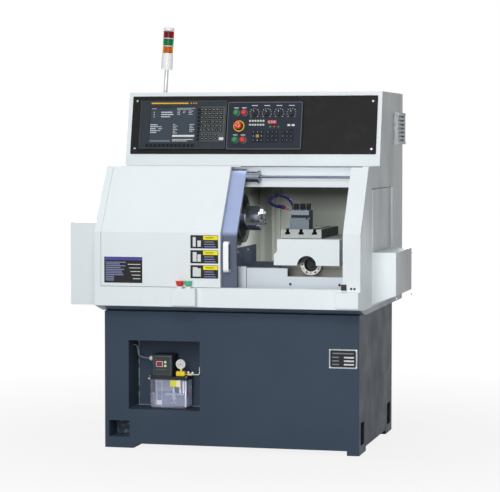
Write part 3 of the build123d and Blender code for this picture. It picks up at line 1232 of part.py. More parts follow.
def door_handle():
    y1 = LIP_FRONT + DOOR_INSET
    y0 = y1 - HANDLE_PROUD
    z0 = LIP_TOP + HANDLE_BOTTOM
    z1 = z0 + HANDLE_HEIGHT
    bar = block(HANDLE_X, HANDLE_X + HANDLE_WIDTH, y0, y1, z0, z1)
    bar = fillet(bar.edges().filter_by(Axis.X).group_by(Axis.Y)[0], HANDLE_ROUND)
    return bar - block(HANDLE_X - OVERRUN, HANDLE_X + HANDLE_WIDTH + OVERRUN, y0 + HANDLE_BAR, y1 + OVERRUN,
                       z0 + HANDLE_BAR, z1 - HANDLE_BAR)


def all_parts():
    start_x, hold_x = lip_button_places()[::-1]
    parts = {
        "base_cabinet": base_cabinet(), "drip_tray": drip_tray(), "left_wall": left_wall(),
        "right_wall": right_wall(), "front_cover": front_cover(), "roof_panel": roof_panel(),
        "rear_wall": rear_wall(), "headstock_partition": headstock_partition(),
        "electrical_cabinet": electrical_cabinet(), "side_vent": side_vent(),
        "side_access_panel": side_access_panel(), "left_end_cover": left_end_cover(),
        "right_end_cover": right_end_cover(), "control_panel": control_panel(),
        "display_unit": display_unit(), "operator_panel": operator_panel(),
        "estop_button": estop_button(), "start_button": lip_button(start_x),
        "hold_button": lip_button(hold_x), "tower_pole": tower_pole(), "tower_housing": tower_housing(),
        "tower_lens_amber": tower_lens(0), "tower_lens_green": tower_lens(1), "tower_lens_red": tower_lens(2),
        "lube_tank": lube_tank(), "lube_pump": lube_pump(), "lube_cable": lube_cable(),
        "lube_gauge": [lube_gauge(), oil_pipe()], "bed": bed(),
        "bed_guards": [bed_guards(), rear_guard()], "headstock": headstock(),
        "spindle": spindle(), "spindle_pulley": spindle_pulley(), "chuck_body": chuck_body(),
        "drive_motors": [spindle_motor(), z_servo()], "motor_pulley": motor_pulley(),
        "drive_belt": drive_belt(), "z_ballscrew": z_ballscrew(), "saddle": saddle(),
        "saddle_cover": saddle_cover(), "cross_slide": cross_slide(), "x_ballscrew": x_ballscrew(),
        "tool_post": tool_post(), "coolant_hose": coolant_hose(), "door_panel": door_panel(),
        "door_window": door_window(), "door_handle": door_handle(), "door_bushings": door_bushings(),
        "door_rail": door_rail(),
    }
    for i in range(JAW_COUNT):
        parts[f"chuck_jaw_{i + 1}"] = chuck_jaw(i)
    for i, (x, s) in enumerate(panel_button_places()):
        parts[f"panel_button_{i + 1}"] = panel_button(x, s)
    for i, (x, s) in enumerate(knob_places()):
        parts[f"knob_{i + 1}"] = knob(x, s)
    return parts


os.makedirs("parts", exist_ok=True)
for name, shapes in all_parts().items():
    pieces = shapes if isinstance(shapes, list) else [shapes]
    moved = [Pos(0, -BASE_DEPTH / 2, 0) * piece for piece in pieces]
    export_step(Compound(children=moved) if len(moved) > 1 else moved[0], f"parts/{name}.step")
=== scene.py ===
"""Looks of the compact enclosed lathe: finishes on its solids and the small pieces they carry."""

import math

import bmesh
import bpy
from bpy.props import FloatProperty, FloatVectorProperty, PointerProperty
from mathutils import Matrix, Vector


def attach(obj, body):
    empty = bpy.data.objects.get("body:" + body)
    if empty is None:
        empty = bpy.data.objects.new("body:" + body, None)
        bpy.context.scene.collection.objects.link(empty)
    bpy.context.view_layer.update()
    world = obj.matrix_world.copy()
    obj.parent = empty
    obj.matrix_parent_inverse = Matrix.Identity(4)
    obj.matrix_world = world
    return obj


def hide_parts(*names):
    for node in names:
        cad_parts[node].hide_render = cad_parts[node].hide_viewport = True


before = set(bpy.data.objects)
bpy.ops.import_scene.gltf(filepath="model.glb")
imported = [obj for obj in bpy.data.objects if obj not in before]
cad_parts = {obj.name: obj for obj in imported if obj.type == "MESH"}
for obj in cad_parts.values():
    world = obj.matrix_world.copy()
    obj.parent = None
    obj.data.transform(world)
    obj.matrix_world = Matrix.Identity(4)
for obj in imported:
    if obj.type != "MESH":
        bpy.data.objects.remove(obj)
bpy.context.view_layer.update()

bl_info = {
    "name": "Compact lathe looks",
    "version": (1, 0, 0),
    "blender": (4, 5, 0),
    "location": "View3D > Sidebar > Lathe",
    "description": "Finishes and small pieces of a compact enclosed lathe",
    "category": "Object",
}

# Two measuring frames in millimetres: the machine from the base's front face, and the sloped control head
MILLIMETRES = 1000
BASE_FRONT = -440
HEAD_FOOT = (400, 1306)
HEAD_SLOPE = (76, 350)
MACHINE = Matrix.Scale(1 / MILLIMETRES, 4) @ Matrix.Translation((0, BASE_FRONT, 0))
HEAD_UP = Vector((0, HEAD_SLOPE[0], HEAD_SLOPE[1])).normalized()
HEAD_OUT = Vector((0, -HEAD_SLOPE[1], HEAD_SLOPE[0])).normalized()
HEAD = MACHINE @ Matrix((
    (1, 0, 0, 0), (0, HEAD_UP.y, HEAD_OUT.y, HEAD_FOOT[0]), (0, HEAD_UP.z, HEAD_OUT.z, HEAD_FOOT[1]),
    (0, 0, 0, 1)))
FRONT, BACK, LEFT, RIGHT, UP = (0, -1, 0), (0, 1, 0), (-1, 0, 0), (1, 0, 0), (0, 0, 1)
SHARP_ANGLE = math.radians(34)

# Places in the control head's frame
PANEL_TOP = 17
SCREEN_TOP = 11.6
KNOB_ROW = (10, 70, 130, 190)
KNOB_HEIGHT = 251
BUTTONS = ((-79, 253), (-41, 253), (-79, 121), (-41, 121))
STOP_PLACE = (-63, 188)

# Places in the machine's frame
COVER_FACE = -89
RING_PLACE = (356, 100, 858.3)
GAUGE_PLACE = (-248, 48, 391)
GLAND = (-396, 85, 411)
REAR_FACE = 1060
CABINET_TOP = 1656

# Places and pitches in metres, for the finishes
SPINDLE_LINE = (-0.140, 1.060)
RECESS_MIDDLE = (-0.3145, 0.3415)
POCKET_MIDDLE = (-0.531, 0.089)
RIB_PITCH = 0.0022
HALF_LEAD = 0.005

# The stage, in metres and watts. A lamp has its name, place, aim, width, power, spread in degrees, and its
# height where it isn't square
LAMPS = (
    ("key_lamp", (0.4, -5.2, 3.2), (0, -0.3, 0.9), 2.2, 128, 180, None),
    ("fill_lamp", (0.4, -5.8, 1.1), (0, -0.3, 0.9), 1.8, 84, 180, None),
    ("top_lamp", (-0.5, -0.8, 5.2), (0, 0, 1.0), 3.0, 62, 180, None),
    ("back_lamp", (-1.2, 5.4, 2.4), (0, 0.3, 0.9), 3.0, 110, 180, None),
    ("work_lamp", (0.42, -0.12, 1.235), (0.0, -0.06, 0.92), 0.1, 0.45, 75, None),
    ("head_bounce", (0.3, -0.318, 1.296), (0.3, -0.26, 1.25), 0.62, 0.07, 180, 0.012),
    ("wall_bounce", (0.84, -0.45, 0.87), (0.62, -0.39, 0.87), 0.26, 0.16, 150, 0.36))
FLOOR_REACH = 30
CAMERA_PLACE = (2.2326, -9.2818, 1.4219)
CAMERA_TILT, CAMERA_TURN = math.radians(87.0), math.radians(13.6)
SENSOR_WIDTH, PICTURE_WIDTH, FOCAL_PIXELS = 36, 500, 2002


def rgb(red, green, blue):
    """Turns screen colour steps, 0 to 255, into scene-linear colour."""
    steps = (red / 255, green / 255, blue / 255)
    return tuple(c / 12.92 if c <= 0.04045 else ((c + 0.055) / 1.055) ** 2.4 for c in steps)


def colour_prop(name, description, *steps):
    return FloatVectorProperty(name=name, description=description, subtype="COLOR", min=0, max=1,
                               default=rgb(*steps))


def length_prop(name, description, metres):
    return FloatProperty(name=name, description=description, default=metres, min=0, unit="LENGTH",
                         precision=4)


class LatheColours(bpy.types.PropertyGroup):
    """Colours of the paint, plastics and printed fields."""

    white: colour_prop("White enamel", "Paint of the casings", 228, 235, 238)
    base: colour_prop("Base enamel", "Dark paint of the base", 65, 77, 92)
    door: colour_prop("Door enamel", "Blue-grey paint of the sliding door", 156, 170, 206)
    chamber: colour_prop("Chamber enamel", "Paint inside the work chamber", 216, 221, 211)
    casting: colour_prop("Casting paint", "Dark blue paint of bed and headstock", 64, 72, 90)
    plate: colour_prop("Control plate", "Matt black plate of the control head", 35, 34, 34)
    display: colour_prop("Display bezel", "Moulding around the screen", 48, 54, 61)
    operator: colour_prop("Operator film", "Film of the operator panel", 40, 45, 55)
    screen: colour_prop("Screen", "Ground of the screen picture", 66, 74, 84)
    key: colour_prop("Keys", "Key caps of the keyboard", 18, 20, 22)
    red: colour_prop("Red", "Stop and hold caps", 208, 44, 34)
    green: colour_prop("Green", "Start caps", 26, 132, 74)
    yellow: colour_prop("Yellow", "Signal fields and collars", 238, 196, 30)
    hose: colour_prop("Hose", "Segments of the coolant hose", 28, 25, 72)


class LatheSizes(bpy.types.PropertyGroup):
    """Sizes of the small pieces."""

    screw: length_prop("Casing screw", "Radius of the casing screws", 0.006)
    segment: length_prop("Hose segment", "Length of one segment of the coolant hose", 0.013)
    cable: length_prop("Pump cable", "Radius of the cable to the oil pump", 0.003)
    key_gap: length_prop("Key cap rise", "How far a cap stands over its key", 0.0006)


def joined(operation, swapped=False):
    """A method that joins a socket and a value in a maths node."""
    def method(self, other=0):
        first, second = (other, self) if swapped else (self, other)
        return self.finish.node("ShaderNodeMath", {"operation": operation}, {0: first, 1: second})
    return method


class Shade:
    """A shader socket that takes part in sums and products."""

    def __init__(self, finish, socket):
        self.finish, self.socket = finish, socket

    __add__ = __radd__ = joined("ADD")
    __mul__ = __rmul__ = joined("MULTIPLY")
    __sub__, __rsub__ = joined("SUBTRACT"), joined("SUBTRACT", swapped=True)
    __pow__, __abs__ = joined("POWER"), joined("ABSOLUTE")
    most, least, repeat = joined("MAXIMUM"), joined("MINIMUM"), joined("PINGPONG")


class Nodes:
    """A node tree in the making."""

    def __init__(self, tree):
        self.tree = tree
        self.tree.nodes.clear()

    def node(self, kind, settings=None, sockets=None, output=0):
        """Adds a node: its settings first, then the values or links of its sockets."""
        made = self.tree.nodes.new(kind)
        for name, value in (settings or {}).items():
            setattr(made, name, value)
        for name, value in (sockets or {}).items():
            socket = made.inputs[name]
            if isinstance(value, Shade):
                self.tree.links.new(value.socket, socket)
            elif socket.type == "RGBA" and len(value) == 3:
                socket.default_value = (*value, 1)
            else:
                socket.default_value = value
        return Shade(self, made.outputs[output]) if made.outputs else None


class Finish(Nodes):
    """A material in the making."""

    def __init__(self, name):
        self.material = bpy.data.materials.new(name)
        self.material.use_nodes = True
        super().__init__(self.material.node_tree)
        self.place = self.node("ShaderNodeTexCoord", output="Object")

    def axes(self):
        split = self.node("ShaderNodeSeparateXYZ", None, {0: self.place}).socket.node
        return [Shade(self, socket) for socket in split.outputs]

    def side(self):
        """How far a face looks to the right."""
        normal = self.node("ShaderNodeNewGeometry", output="Normal")
        return self.node("ShaderNodeSeparateXYZ", None, {0: normal})

    def cloud(self, scale, detail=3.0, stretch=(1, 1, 1)):
        """Soft noise from 0 to 1 over the piece's own place."""
        where = self.node("ShaderNodeVectorMath", {"operation": "MULTIPLY"}, {0: self.place, 1: stretch})
        return self.node("ShaderNodeTexNoise", None, {"Vector": where, "Scale": scale, "Detail": detail})

    def rise(self, value, low, high):
        """0 below low, 1 above high, straight between."""
        return self.node("ShaderNodeMapRange", None, {"Value": value, "From Min": low, "From Max": high})

    def mix(self, share, first, second):
        return self.node("ShaderNodeMix", {"data_type": "RGBA"}, {0: share, 6: first, 7: second}, output=2)

    def drift(self, noise, low, high, colour, dark, light):
        """One colour in two tones, the lighter one where the noise is high."""
        return self.mix(self.rise(noise, low, high), tint(colour, dark), tint(colour, light))

    def soil(self, tone, noise, low, high, share, colour):
        """A share of another colour where the noise is high."""
        return self.mix(self.rise(noise, low, high) * share, tone, colour)

    def within(self, value, middle, half, edge=0.001):
        """1 up to half a width from the middle, 0 beyond the edge."""
        return 1 - self.rise(abs(value - middle), half, half + edge)

    def bump(self, height, distance, strength):
        return self.node("ShaderNodeBump", None,
                         {"Height": height, "Distance": distance, "Strength": strength})

    def surface(self, colour, roughness, normal, shine=0.5, **sockets):
        values = {"Base Color": colour, "Roughness": roughness, "Normal": normal, "Specular IOR Level": shine}
        values.update({name.replace("_", " "): value for name, value in sockets.items()})
        shader = self.node("ShaderNodeBsdfPrincipled", None, values)
        self.node("ShaderNodeOutputMaterial", None, {"Surface": shader})
        return self.material

    def painted(self, tone, rubbed, gloss, shine):
        """Sprayed paint with its fine peel, duller on rubbed patches."""
        peel = self.bump(self.cloud(420.0, 2.0), 0.0003, 0.35)
        return self.surface(tone, gloss + 0.16 * self.rise(rubbed, 0.4, 0.8), peel, shine)


def tint(colour, share):
    """The same colour, lighter above 1 and darker below."""
    return tuple(min(1.0, c * share) for c in colour)


# Finishes
def sprayed(f, colour):
    """Tone of sprayed paint, drifting slowly, and the noise of its rubbed patches."""
    return f.drift(f.cloud(1.6), 0.3, 0.7, colour, 0.965, 1.02), f.cloud(9.0, 5.0, (1, 1, 0.35))


def enamel(name, colour, gloss=0.34, shine=0.18):
    """Sprayed paint on sheet: fine peel, a slow drift of tone, rubbed and dusty patches."""
    f = Finish(name)
    tone, rubbed = sprayed(f, colour)
    tone = f.soil(tone, rubbed, 0.55, 0.85, 0.12, tint(colour, 0.82))
    return f.painted(tone, rubbed, gloss, shine)


def chamber_enamel(name, colour):
    """Chamber paint with painted shade: dark under the roof where the header casts its shadow, and in the
    corner left of the ribs.
    """
    f = Finish(name)
    x, _, z = f.axes()
    tone, rubbed = sprayed(f, colour)
    # painted shade: a darker strip in the corner left of the ribs
    corner = f.rise(x, -0.012, 0.0) * (1 - f.rise(x, 0.026, 0.033))
    tone = f.mix(corner * 0.5, tone, tint(colour, 0.34))
    # painted shadow of the roof and header: the walls darken towards the top
    tone = f.soil(tone, z, 1.075, 1.17, 0.93, tint(colour, 0.1))
    return f.painted(tone, rubbed, 0.4, 0.1)


def tray_enamel(name, colour, below):
    """White lip; the tray's skirt under it is painted in the given darker colour, as painted shade under the
    lip.
    """
    f = Finish(name)
    _, y, z = f.axes()
    tone, rubbed = sprayed(f, colour)
    tone = f.soil(tone, rubbed, 0.55, 0.85, 0.12, tint(colour, 0.82))
    # painted shade: the skirt under the lip takes the darker colour below
    skirt = (1 - f.rise(z, 0.6655, 0.6675)) * f.rise(y, -0.525, -0.52)
    tone = f.mix(skirt, tone, below)
    return f.painted(tone, rubbed, 0.34, 0.4)


def base_enamel(name, colour):
    """Dark base paint with bare scratches along the recess's inner edges and in the front anchor pocket."""
    f = Finish(name)
    x, y, z = f.axes()
    tone = f.drift(f.cloud(2.0), 0.3, 0.7, colour, 0.92, 1.06)
    tone = f.soil(tone, f.cloud(60.0, 4.0), 0.5, 0.75, 0.10, tint(colour, 1.35))
    left, back, low = abs(x + 0.485), abs(y + 0.275), abs(z - 0.181)
    corner = 1 - f.rise(left.most(back).least(left.most(low)).least(back.most(low)), 0.0, 0.005)
    recess = f.within(x, RECESS_MIDDLE[0], 0.171) * f.within(z, RECESS_MIDDLE[1], 0.161)
    recess = recess * f.rise(y, -0.438, -0.434)
    scratched = corner * recess * f.rise(f.cloud(70.0, 6.0), 0.44, 0.52)
    pocket = f.within(x, POCKET_MIDDLE[0], 0.047) * f.within(z, POCKET_MIDDLE[1], 0.040)
    pocket = pocket * f.rise(y, -0.438, -0.43) * (1 - f.rise(y, -0.3, -0.29))
    bare = scratched.most(pocket * 0.5 * f.rise(f.cloud(38.0, 6.0), 0.5, 0.68))
    tone = f.mix(bare, tone, rgb(150, 162, 166))
    return f.surface(tone, 0.38 + 0.14 * f.rise(f.cloud(7.0, 5.0), 0.35, 0.7),
                     f.bump(f.cloud(380.0, 2.0) - bare * 0.5, 0.0004, 0.45), 0.05, Metallic=bare * 0.6)


def plastic(name, colour, gloss=0.45, grain=600.0, shine=0.2):
    """Moulded plastic or printed film with a fine texture and finger marks."""
    f = Finish(name)
    marks = f.cloud(22.0, 5.0)
    tone = f.drift(marks, 0.35, 0.75, colour, 0.95, 1.06)
    return f.surface(tone, gloss - 0.12 * f.rise(marks, 0.5, 0.75),
                     f.bump(f.cloud(grain, 2.0), 0.0002, 0.5), shine)


def cap_plastic(name, colour):
    """Shiny button cap, a little lighter on its rubbed parts."""
    f = Finish(name)
    rubbed = f.cloud(90.0, 4.0)
    tone = f.soil(colour, rubbed, 0.45, 0.75, 0.5, tint(colour, 1.25))
    return f.surface(tone, 0.22 + 0.12 * rubbed, f.bump(f.cloud(300.0, 2.0), 0.0002, 0.3), 0.3)


def brushed(name, colour, stretch, roughness=0.30, depth=0.00012):
    """Metal with fine drawn lines along one direction and dull oily patches."""
    f = Finish(name)
    lines, oil = f.cloud(60.0, 4.0, stretch), f.cloud(14.0, 5.0)
    tone = f.drift(lines, 0.3, 0.7, colour, 0.84, 1.08)
    tone = f.soil(tone, oil, 0.5, 0.8, 0.4, tint(colour, 0.66))
    return f.surface(tone, roughness + 0.18 * f.rise(oil, 0.4, 0.75), f.bump(lines, depth, 0.6),
                     Metallic=0.92)


def turned(name, colour, roughness):
    """Steel turned on the spindle line: fine rings round it and darker oil film."""
    f = Finish(name)
    x, y, z = f.axes()
    radius = ((y - SPINDLE_LINE[0]) ** 2.0 + (z - SPINDLE_LINE[1]) ** 2.0) ** 0.5
    rings = f.node("ShaderNodeTexNoise", {"noise_dimensions": "1D"},
                   {"W": (x + radius) * 900.0, "Scale": 1.0})
    oil = f.cloud(26.0, 5.0)
    tone = f.drift(rings, 0.25, 0.75, colour, 0.80, 1.08)
    tone = f.soil(tone, oil, 0.5, 0.8, 0.25, rgb(96, 92, 86))
    return f.surface(tone, roughness + 0.14 * f.rise(oil, 0.4, 0.8), f.bump(rings, 0.00004, 0.4),
                     Metallic=0.95)


def cast_skin(f, colour):
    """Tone of cast iron under oil, and the noise of its coarse skin."""
    skin = f.cloud(95.0, 6.0)
    tone = f.drift(skin, 0.3, 0.7, colour, 0.86, 1.10)
    return f.soil(tone, f.cloud(11.0, 5.0), 0.5, 0.8, 0.35, tint(colour, 0.6)), skin


def cast_surface(f, tone, skin):
    return f.surface(tone, 0.42 + 0.2 * f.rise(skin, 0.35, 0.7), f.bump(skin, 0.0006, 0.5), 0.2)


def casting(name, colour):
    """Painted cast iron: coarse skin, pits and oil."""
    f = Finish(name)
    return cast_surface(f, *cast_skin(f, colour))


def saddle_iron(name, colour):
    """Cast iron with a bright screw ring, painted near black as shade inside the cover's arch."""
    f = Finish(name)
    _, y, z = f.axes()
    tone, skin = cast_skin(f, colour)
    tone = f.mix((1 - f.rise(y, -0.3385, -0.338)) * 0.8, tone, rgb(226, 226, 220))
    # painted shade: the ring's upper part inside the cover's arch turns near black
    arch = f.rise(z, 0.853, 0.868) * (1 - f.rise(y, -0.2885, -0.288))
    tone = f.mix(arch * 0.93, tone, rgb(34, 35, 36))
    return cast_surface(f, tone, skin)


def slide_iron(name, colour):
    """Planed iron: pale and drawn on top and front, with painted shade darkening the faces that look to
    either side.
    """
    f = Finish(name)
    # painted shade on faces that look to either side: darker and less metallic
    side_shade = f.rise(abs(f.side()), 0.5, 0.8)
    lines, oil = f.cloud(70.0, 4.0, (1, 6, 1)), f.cloud(16.0, 5.0)
    tone = f.drift(lines, 0.3, 0.7, colour, 0.9, 1.04)
    tone = f.soil(tone, oil, 0.5, 0.8, 0.25, tint(colour, 0.7))
    tone = f.mix(side_shade, tone, rgb(46, 50, 56))
    return f.surface(tone, 0.42 + 0.14 * oil, f.bump(lines, 0.00015, 0.5), 0.3, Metallic=0.25 - 0.2 * side_shade)


def post_steel(name, colour):
    """Blued block with a pale clamp plate and blackened bolts above it; painted shade darkens its right side
    and the back of the slot under the plate.
    """
    f = Finish(name)
    _, y, z = f.axes()
    grain = f.cloud(80.0, 4.0, (1, 1, 4))
    tone = f.drift(grain, 0.3, 0.7, colour, 0.88, 1.06)
    plate = f.rise(z, 1.0828, 1.0842)
    tone = f.mix(plate, tone, tint(colour, 1.3))
    # painted shade on the faces that look to the right
    tone = f.soil(tone, f.side(), 0.5, 0.8, 0.8, rgb(46, 50, 56))
    # painted shade at the back of the slot under the clamp plate
    slot = f.rise(y, -0.301, -0.3) * (1 - f.rise(y, -0.298, -0.297)) * f.rise(z, 1.07, 1.0706)
    tone = f.mix(slot * (1 - plate), tone, rgb(30, 32, 36))
    tone = f.mix(f.rise(z, 1.1075, 1.1085), tone, rgb(40, 42, 46))
    return f.surface(tone, 0.4 + 0.12 * grain, f.bump(grain, 0.0002, 0.5), 0.3, Metallic=0.35)


def door_enamel(name, colour):
    """Blue-grey door paint, painted darker below the bend as shade, where the vertical panel takes less light
    than the sloped one.
    """
    f = Finish(name)
    # painted shade on the vertical panel below the bend
    below = 1 - f.rise(f.axes()[2], 0.99, 1.012)
    mist = f.cloud(7.0, 5.0, (1, 1, 0.4))
    tone = f.drift(mist, 0.3, 0.75, colour, 0.95, 1.04)
    tone = f.mix(below, tone, tint(colour, 0.26))
    return f.painted(tone, mist, 0.32, 0.25)


def clear(name, colour, transmission, ior, roughness):
    """Clear sheet or moulding with faint smears."""
    f = Finish(name)
    smear = f.cloud(16.0, 5.0, (1, 1, 0.3))
    tone = f.soil(colour, smear, 0.4, 0.8, 0.3, tint(colour, 0.8))
    return f.surface(tone, roughness + 0.12 * f.rise(smear, 0.5, 0.85),
                     f.bump(f.cloud(30.0, 2.0), 0.0002, 0.2), Transmission_Weight=transmission, IOR=ior)


def lens(name, colour, glow, clearness=0.15):
    """Ribbed coloured lens with light gathered in the ribs and a faint glow."""
    f = Finish(name)
    ribs = f.rise(f.axes()[0].repeat(RIB_PITCH), 0.0, RIB_PITCH)
    tone = f.mix(ribs, tint(colour, 0.86), tint(colour, 1.06))
    return f.surface(tone, 0.08 + 0.08 * f.cloud(40.0), f.bump(ribs, 0.0003, 0.3), 0.3, IOR=1.3,
                     Transmission_Weight=clearness, Emission_Color=tone, Emission_Strength=glow)


def rubber(name, colour):
    """Dull rubber or cable sheath with a dusty bloom."""
    f = Finish(name)
    bloom = f.cloud(34.0, 5.0)
    tone = f.soil(colour, bloom, 0.4, 0.75, 0.4, tint(colour, 1.5))
    return f.surface(tone, 0.6 + 0.2 * bloom, f.bump(f.cloud(500.0, 3.0), 0.0003, 0.5))


def thread(name, colour, along):
    """Screw steel with its groove marked along one axis, 0 for X and 1 for Y."""
    f = Finish(name)
    groove = f.rise(f.axes()[along].repeat(HALF_LEAD), 0.0016, 0.0034)
    tone = f.mix(groove, tint(colour, 0.45), colour)
    return f.surface(tone, 0.25 + 0.2 * f.cloud(60.0), f.bump(groove, 0.0015, 0.9), Metallic=0.95)


def turn_at(place, degrees, axis):
    """A turn about an axis through a place, for forms drawn round the middle."""
    return Matrix.Translation(place) @ Matrix.Rotation(math.radians(degrees), 4, axis)


def dress(material, *names):
    """Gives a finish to solids of the frame."""
    for name in names:
        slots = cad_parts[name].data.materials
        slots.clear()
        slots.append(material)


class Piece:
    """One mesh in the making: measured in millimetres, with a finish for each face."""

    def __init__(self, name, where=MACHINE):
        self.name, self.where = name, where
        self.points, self.faces, self.marks, self.finishes = [], [], [], []

    def keep(self, shape, finish, turn=Matrix()):
        if finish not in self.finishes:
            self.finishes.append(finish)
        start = len(self.points)
        shape.verts.index_update()
        self.points += [self.where @ (turn @ v.co) for v in shape.verts]
        self.faces += [[start + v.index for v in face.verts] for face in shape.faces]
        self.marks += [self.finishes.index(finish)] * len(shape.faces)
        shape.free()

    def block(self, low, high, finish, edge=0.0, steps=2, turn=Matrix()):
        """Box between two corners with rounded edges."""
        shape = bmesh.new()
        low, high = Vector(low), Vector(high)
        for v in bmesh.ops.create_cube(shape, size=1.0)["verts"]:
            v.co = (low + high) / 2 + v.co * (high - low)
        if edge:
            bmesh.ops.bevel(shape, geom=shape.edges[:], offset=edge, segments=steps, profile=0.5,
                            affect="EDGES")
        self.keep(shape, finish, turn)

    def spin(self, profile, finish, at=(0, 0, 0), axis=UP, sides=24):
        """Round form from (radius, height) points, turned about an axis."""
        shape, rings = bmesh.new(), []
        for radius, height in profile:
            angles = [2 * math.pi * i / sides for i in range(sides)]
            if radius:
                rings.append([shape.verts.new((radius * math.cos(a), radius * math.sin(a), height))
                              for a in angles])
            else:
                rings.append([shape.verts.new((0, 0, height))] * sides)
        for low, high in zip(rings, rings[1:]):
            for i in range(sides):
                j = (i + 1) % sides
                corners = list(dict.fromkeys((low[i], low[j], high[j], high[i])))
                if len(corners) > 2:
                    shape.faces.new(corners)
        lean = Vector(UP).rotation_difference(Vector(axis)).to_matrix().to_4x4()
        self.keep(shape, finish, Matrix.Translation(at) @ lean)

    def prism(self, outline, low, high, finish, turn=Matrix()):
        """Flat outline raised between two heights."""
        shape = bmesh.new()
        foot = [shape.verts.new((x, y, low)) for x, y in outline]
        top = [shape.verts.new((x, y, high)) for x, y in outline]
        shape.faces.new(foot[::-1])
        shape.faces.new(top)
        for i in range(len(outline)):
            j = (i + 1) % len(outline)
            shape.faces.new((foot[i], foot[j], top[j], top[i]))
        self.keep(shape, finish, turn)

    def border(self, low, high, width, rise, finish):
        """Four strips along the sides of a field of the control head."""
        (left, bottom), (right, top) = low, high
        for a, b in ((low, (right, bottom + width)), ((left, top - width), high), (low, (left + width, top)),
                     ((right - width, bottom), high)):
            self.patch(a, b, PANEL_TOP, rise, finish, 0.2)

    def patch(self, low, high, foot, rise, finish, edge=0.0, steps=1):
        """Box of the control head from two flat corners, its foot's height and its rise."""
        self.block((*low, foot), (*high, foot + rise), finish, edge, steps)

    def screw(self, at, axis, finish, radius):
        """Domed head with a round socket."""
        rim = radius * MILLIMETRES
        self.spin([(rim, 0), (rim, rim * 0.35), (rim * 0.8, rim * 0.6), (rim * 0.5, rim * 0.66),
                   (rim * 0.46, rim * 0.3), (0, rim * 0.3)], finish, at, axis, 12)

    def done(self, body, replaced=()):
        mesh = bpy.data.meshes.new(self.name)
        mesh.from_pydata(self.points, [], self.faces)
        for finish in self.finishes:
            mesh.materials.append(finish)
        mesh.polygons.foreach_set("material_index", self.marks)
        mesh.polygons.foreach_set("use_smooth", [True] * len(self.faces))
        mesh.set_sharp_from_angle(angle=SHARP_ANGLE)
        piece = bpy.data.objects.new(self.name, mesh)
        bpy.context.scene.collection.objects.link(piece)
        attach(piece, body)
        if replaced:
            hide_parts(*replaced)


def colours():
    return bpy.context.scene.lathe_colours


def sizes():
    return bpy.context.scene.lathe_sizes


def finish_of(maker, name, *values, **settings):
    """The named finish, made at its first use."""
    return bpy.data.materials.get(name) or maker(name, *values, **settings)


def white_print():
    return finish_of(plastic, "white_print", rgb(214, 217, 219), gloss=0.5)


def black_print():
    return finish_of(plastic, "black_print", rgb(30, 30, 31), gloss=0.5)


def bright_screw():
    return finish_of(brushed, "bright_screw", rgb(196, 198, 200), (1, 1, 6), roughness=0.26)


def dark_screw():
    return finish_of(brushed, "dark_screw", rgb(58, 58, 60), (1, 1, 6), roughness=0.4)


def seam_shadow():
    return finish_of(plastic, "seam_shadow", rgb(92, 100, 106))


class LATHE_OT_casings(bpy.types.Operator):
    """Paint the base, the tray, the enclosure and its covers"""

    bl_idname = "lathe.casings"
    bl_label = "Paint casings"

    def execute(self, context):
        c = colours()
        dress(base_enamel("base_enamel", c.base), "base_cabinet")
        # The tray's skirt takes a light tone of the base colour as painted shade under the lip.
        dress(tray_enamel("tray_enamel", c.white, tint(c.base, 2.4)), "drip_tray")
        dress(enamel("white_enamel", c.white), "left_wall", "right_wall", "front_cover", "roof_panel",
              "electrical_cabinet", "side_vent", "side_access_panel", "left_end_cover", "right_end_cover",
              "saddle_cover")
        dress(chamber_enamel("chamber_enamel", c.chamber), "rear_wall", "headstock_partition")
        dress(enamel("guard_enamel", rgb(214, 221, 228), gloss=0.36), "bed_guards")
        return {"FINISHED"}


class LATHE_OT_drive(bpy.types.Operator):
    """Finish the bed, the headstock, the spindle, the chuck and the belt drive"""

    bl_idname = "lathe.drive"
    bl_label = "Finish spindle drive"

    def execute(self, context):
        dress(casting("casting_paint", colours().casting), "bed", "headstock")
        dress(turned("turned_steel", rgb(198, 203, 213), 0.17), "chuck_body", "spindle_pulley")
        dress(turned("flange_steel", rgb(92, 95, 102), 0.2), "spindle")
        dress(brushed("jaw_steel", rgb(200, 203, 208), (6, 1, 1), roughness=0.2, depth=0.00003),
              "chuck_jaw_1", "chuck_jaw_2", "chuck_jaw_3")
        dress(enamel("motor_enamel", rgb(92, 97, 104), gloss=0.42), "drive_motors")
        dress(brushed("pulley_alloy", rgb(200, 202, 204), (1, 6, 6)), "motor_pulley")
        dress(rubber("belt_rubber", rgb(24, 24, 25)), "drive_belt")
        plinth = Piece("plinth_bolts")
        for y in (221, 422):
            bolt = (-20, y, 903)
            for profile in ([(8, 0), (8, 1.6), (5, 1.6)],
                            [(5, 0), (5, 5), (4.2, 6), (2.6, 6), (2.4, 3), (0, 3)]):
                plinth.spin(profile, bright_screw(), bolt, RIGHT, 20)
        plinth.done("machine")
        return {"FINISHED"}


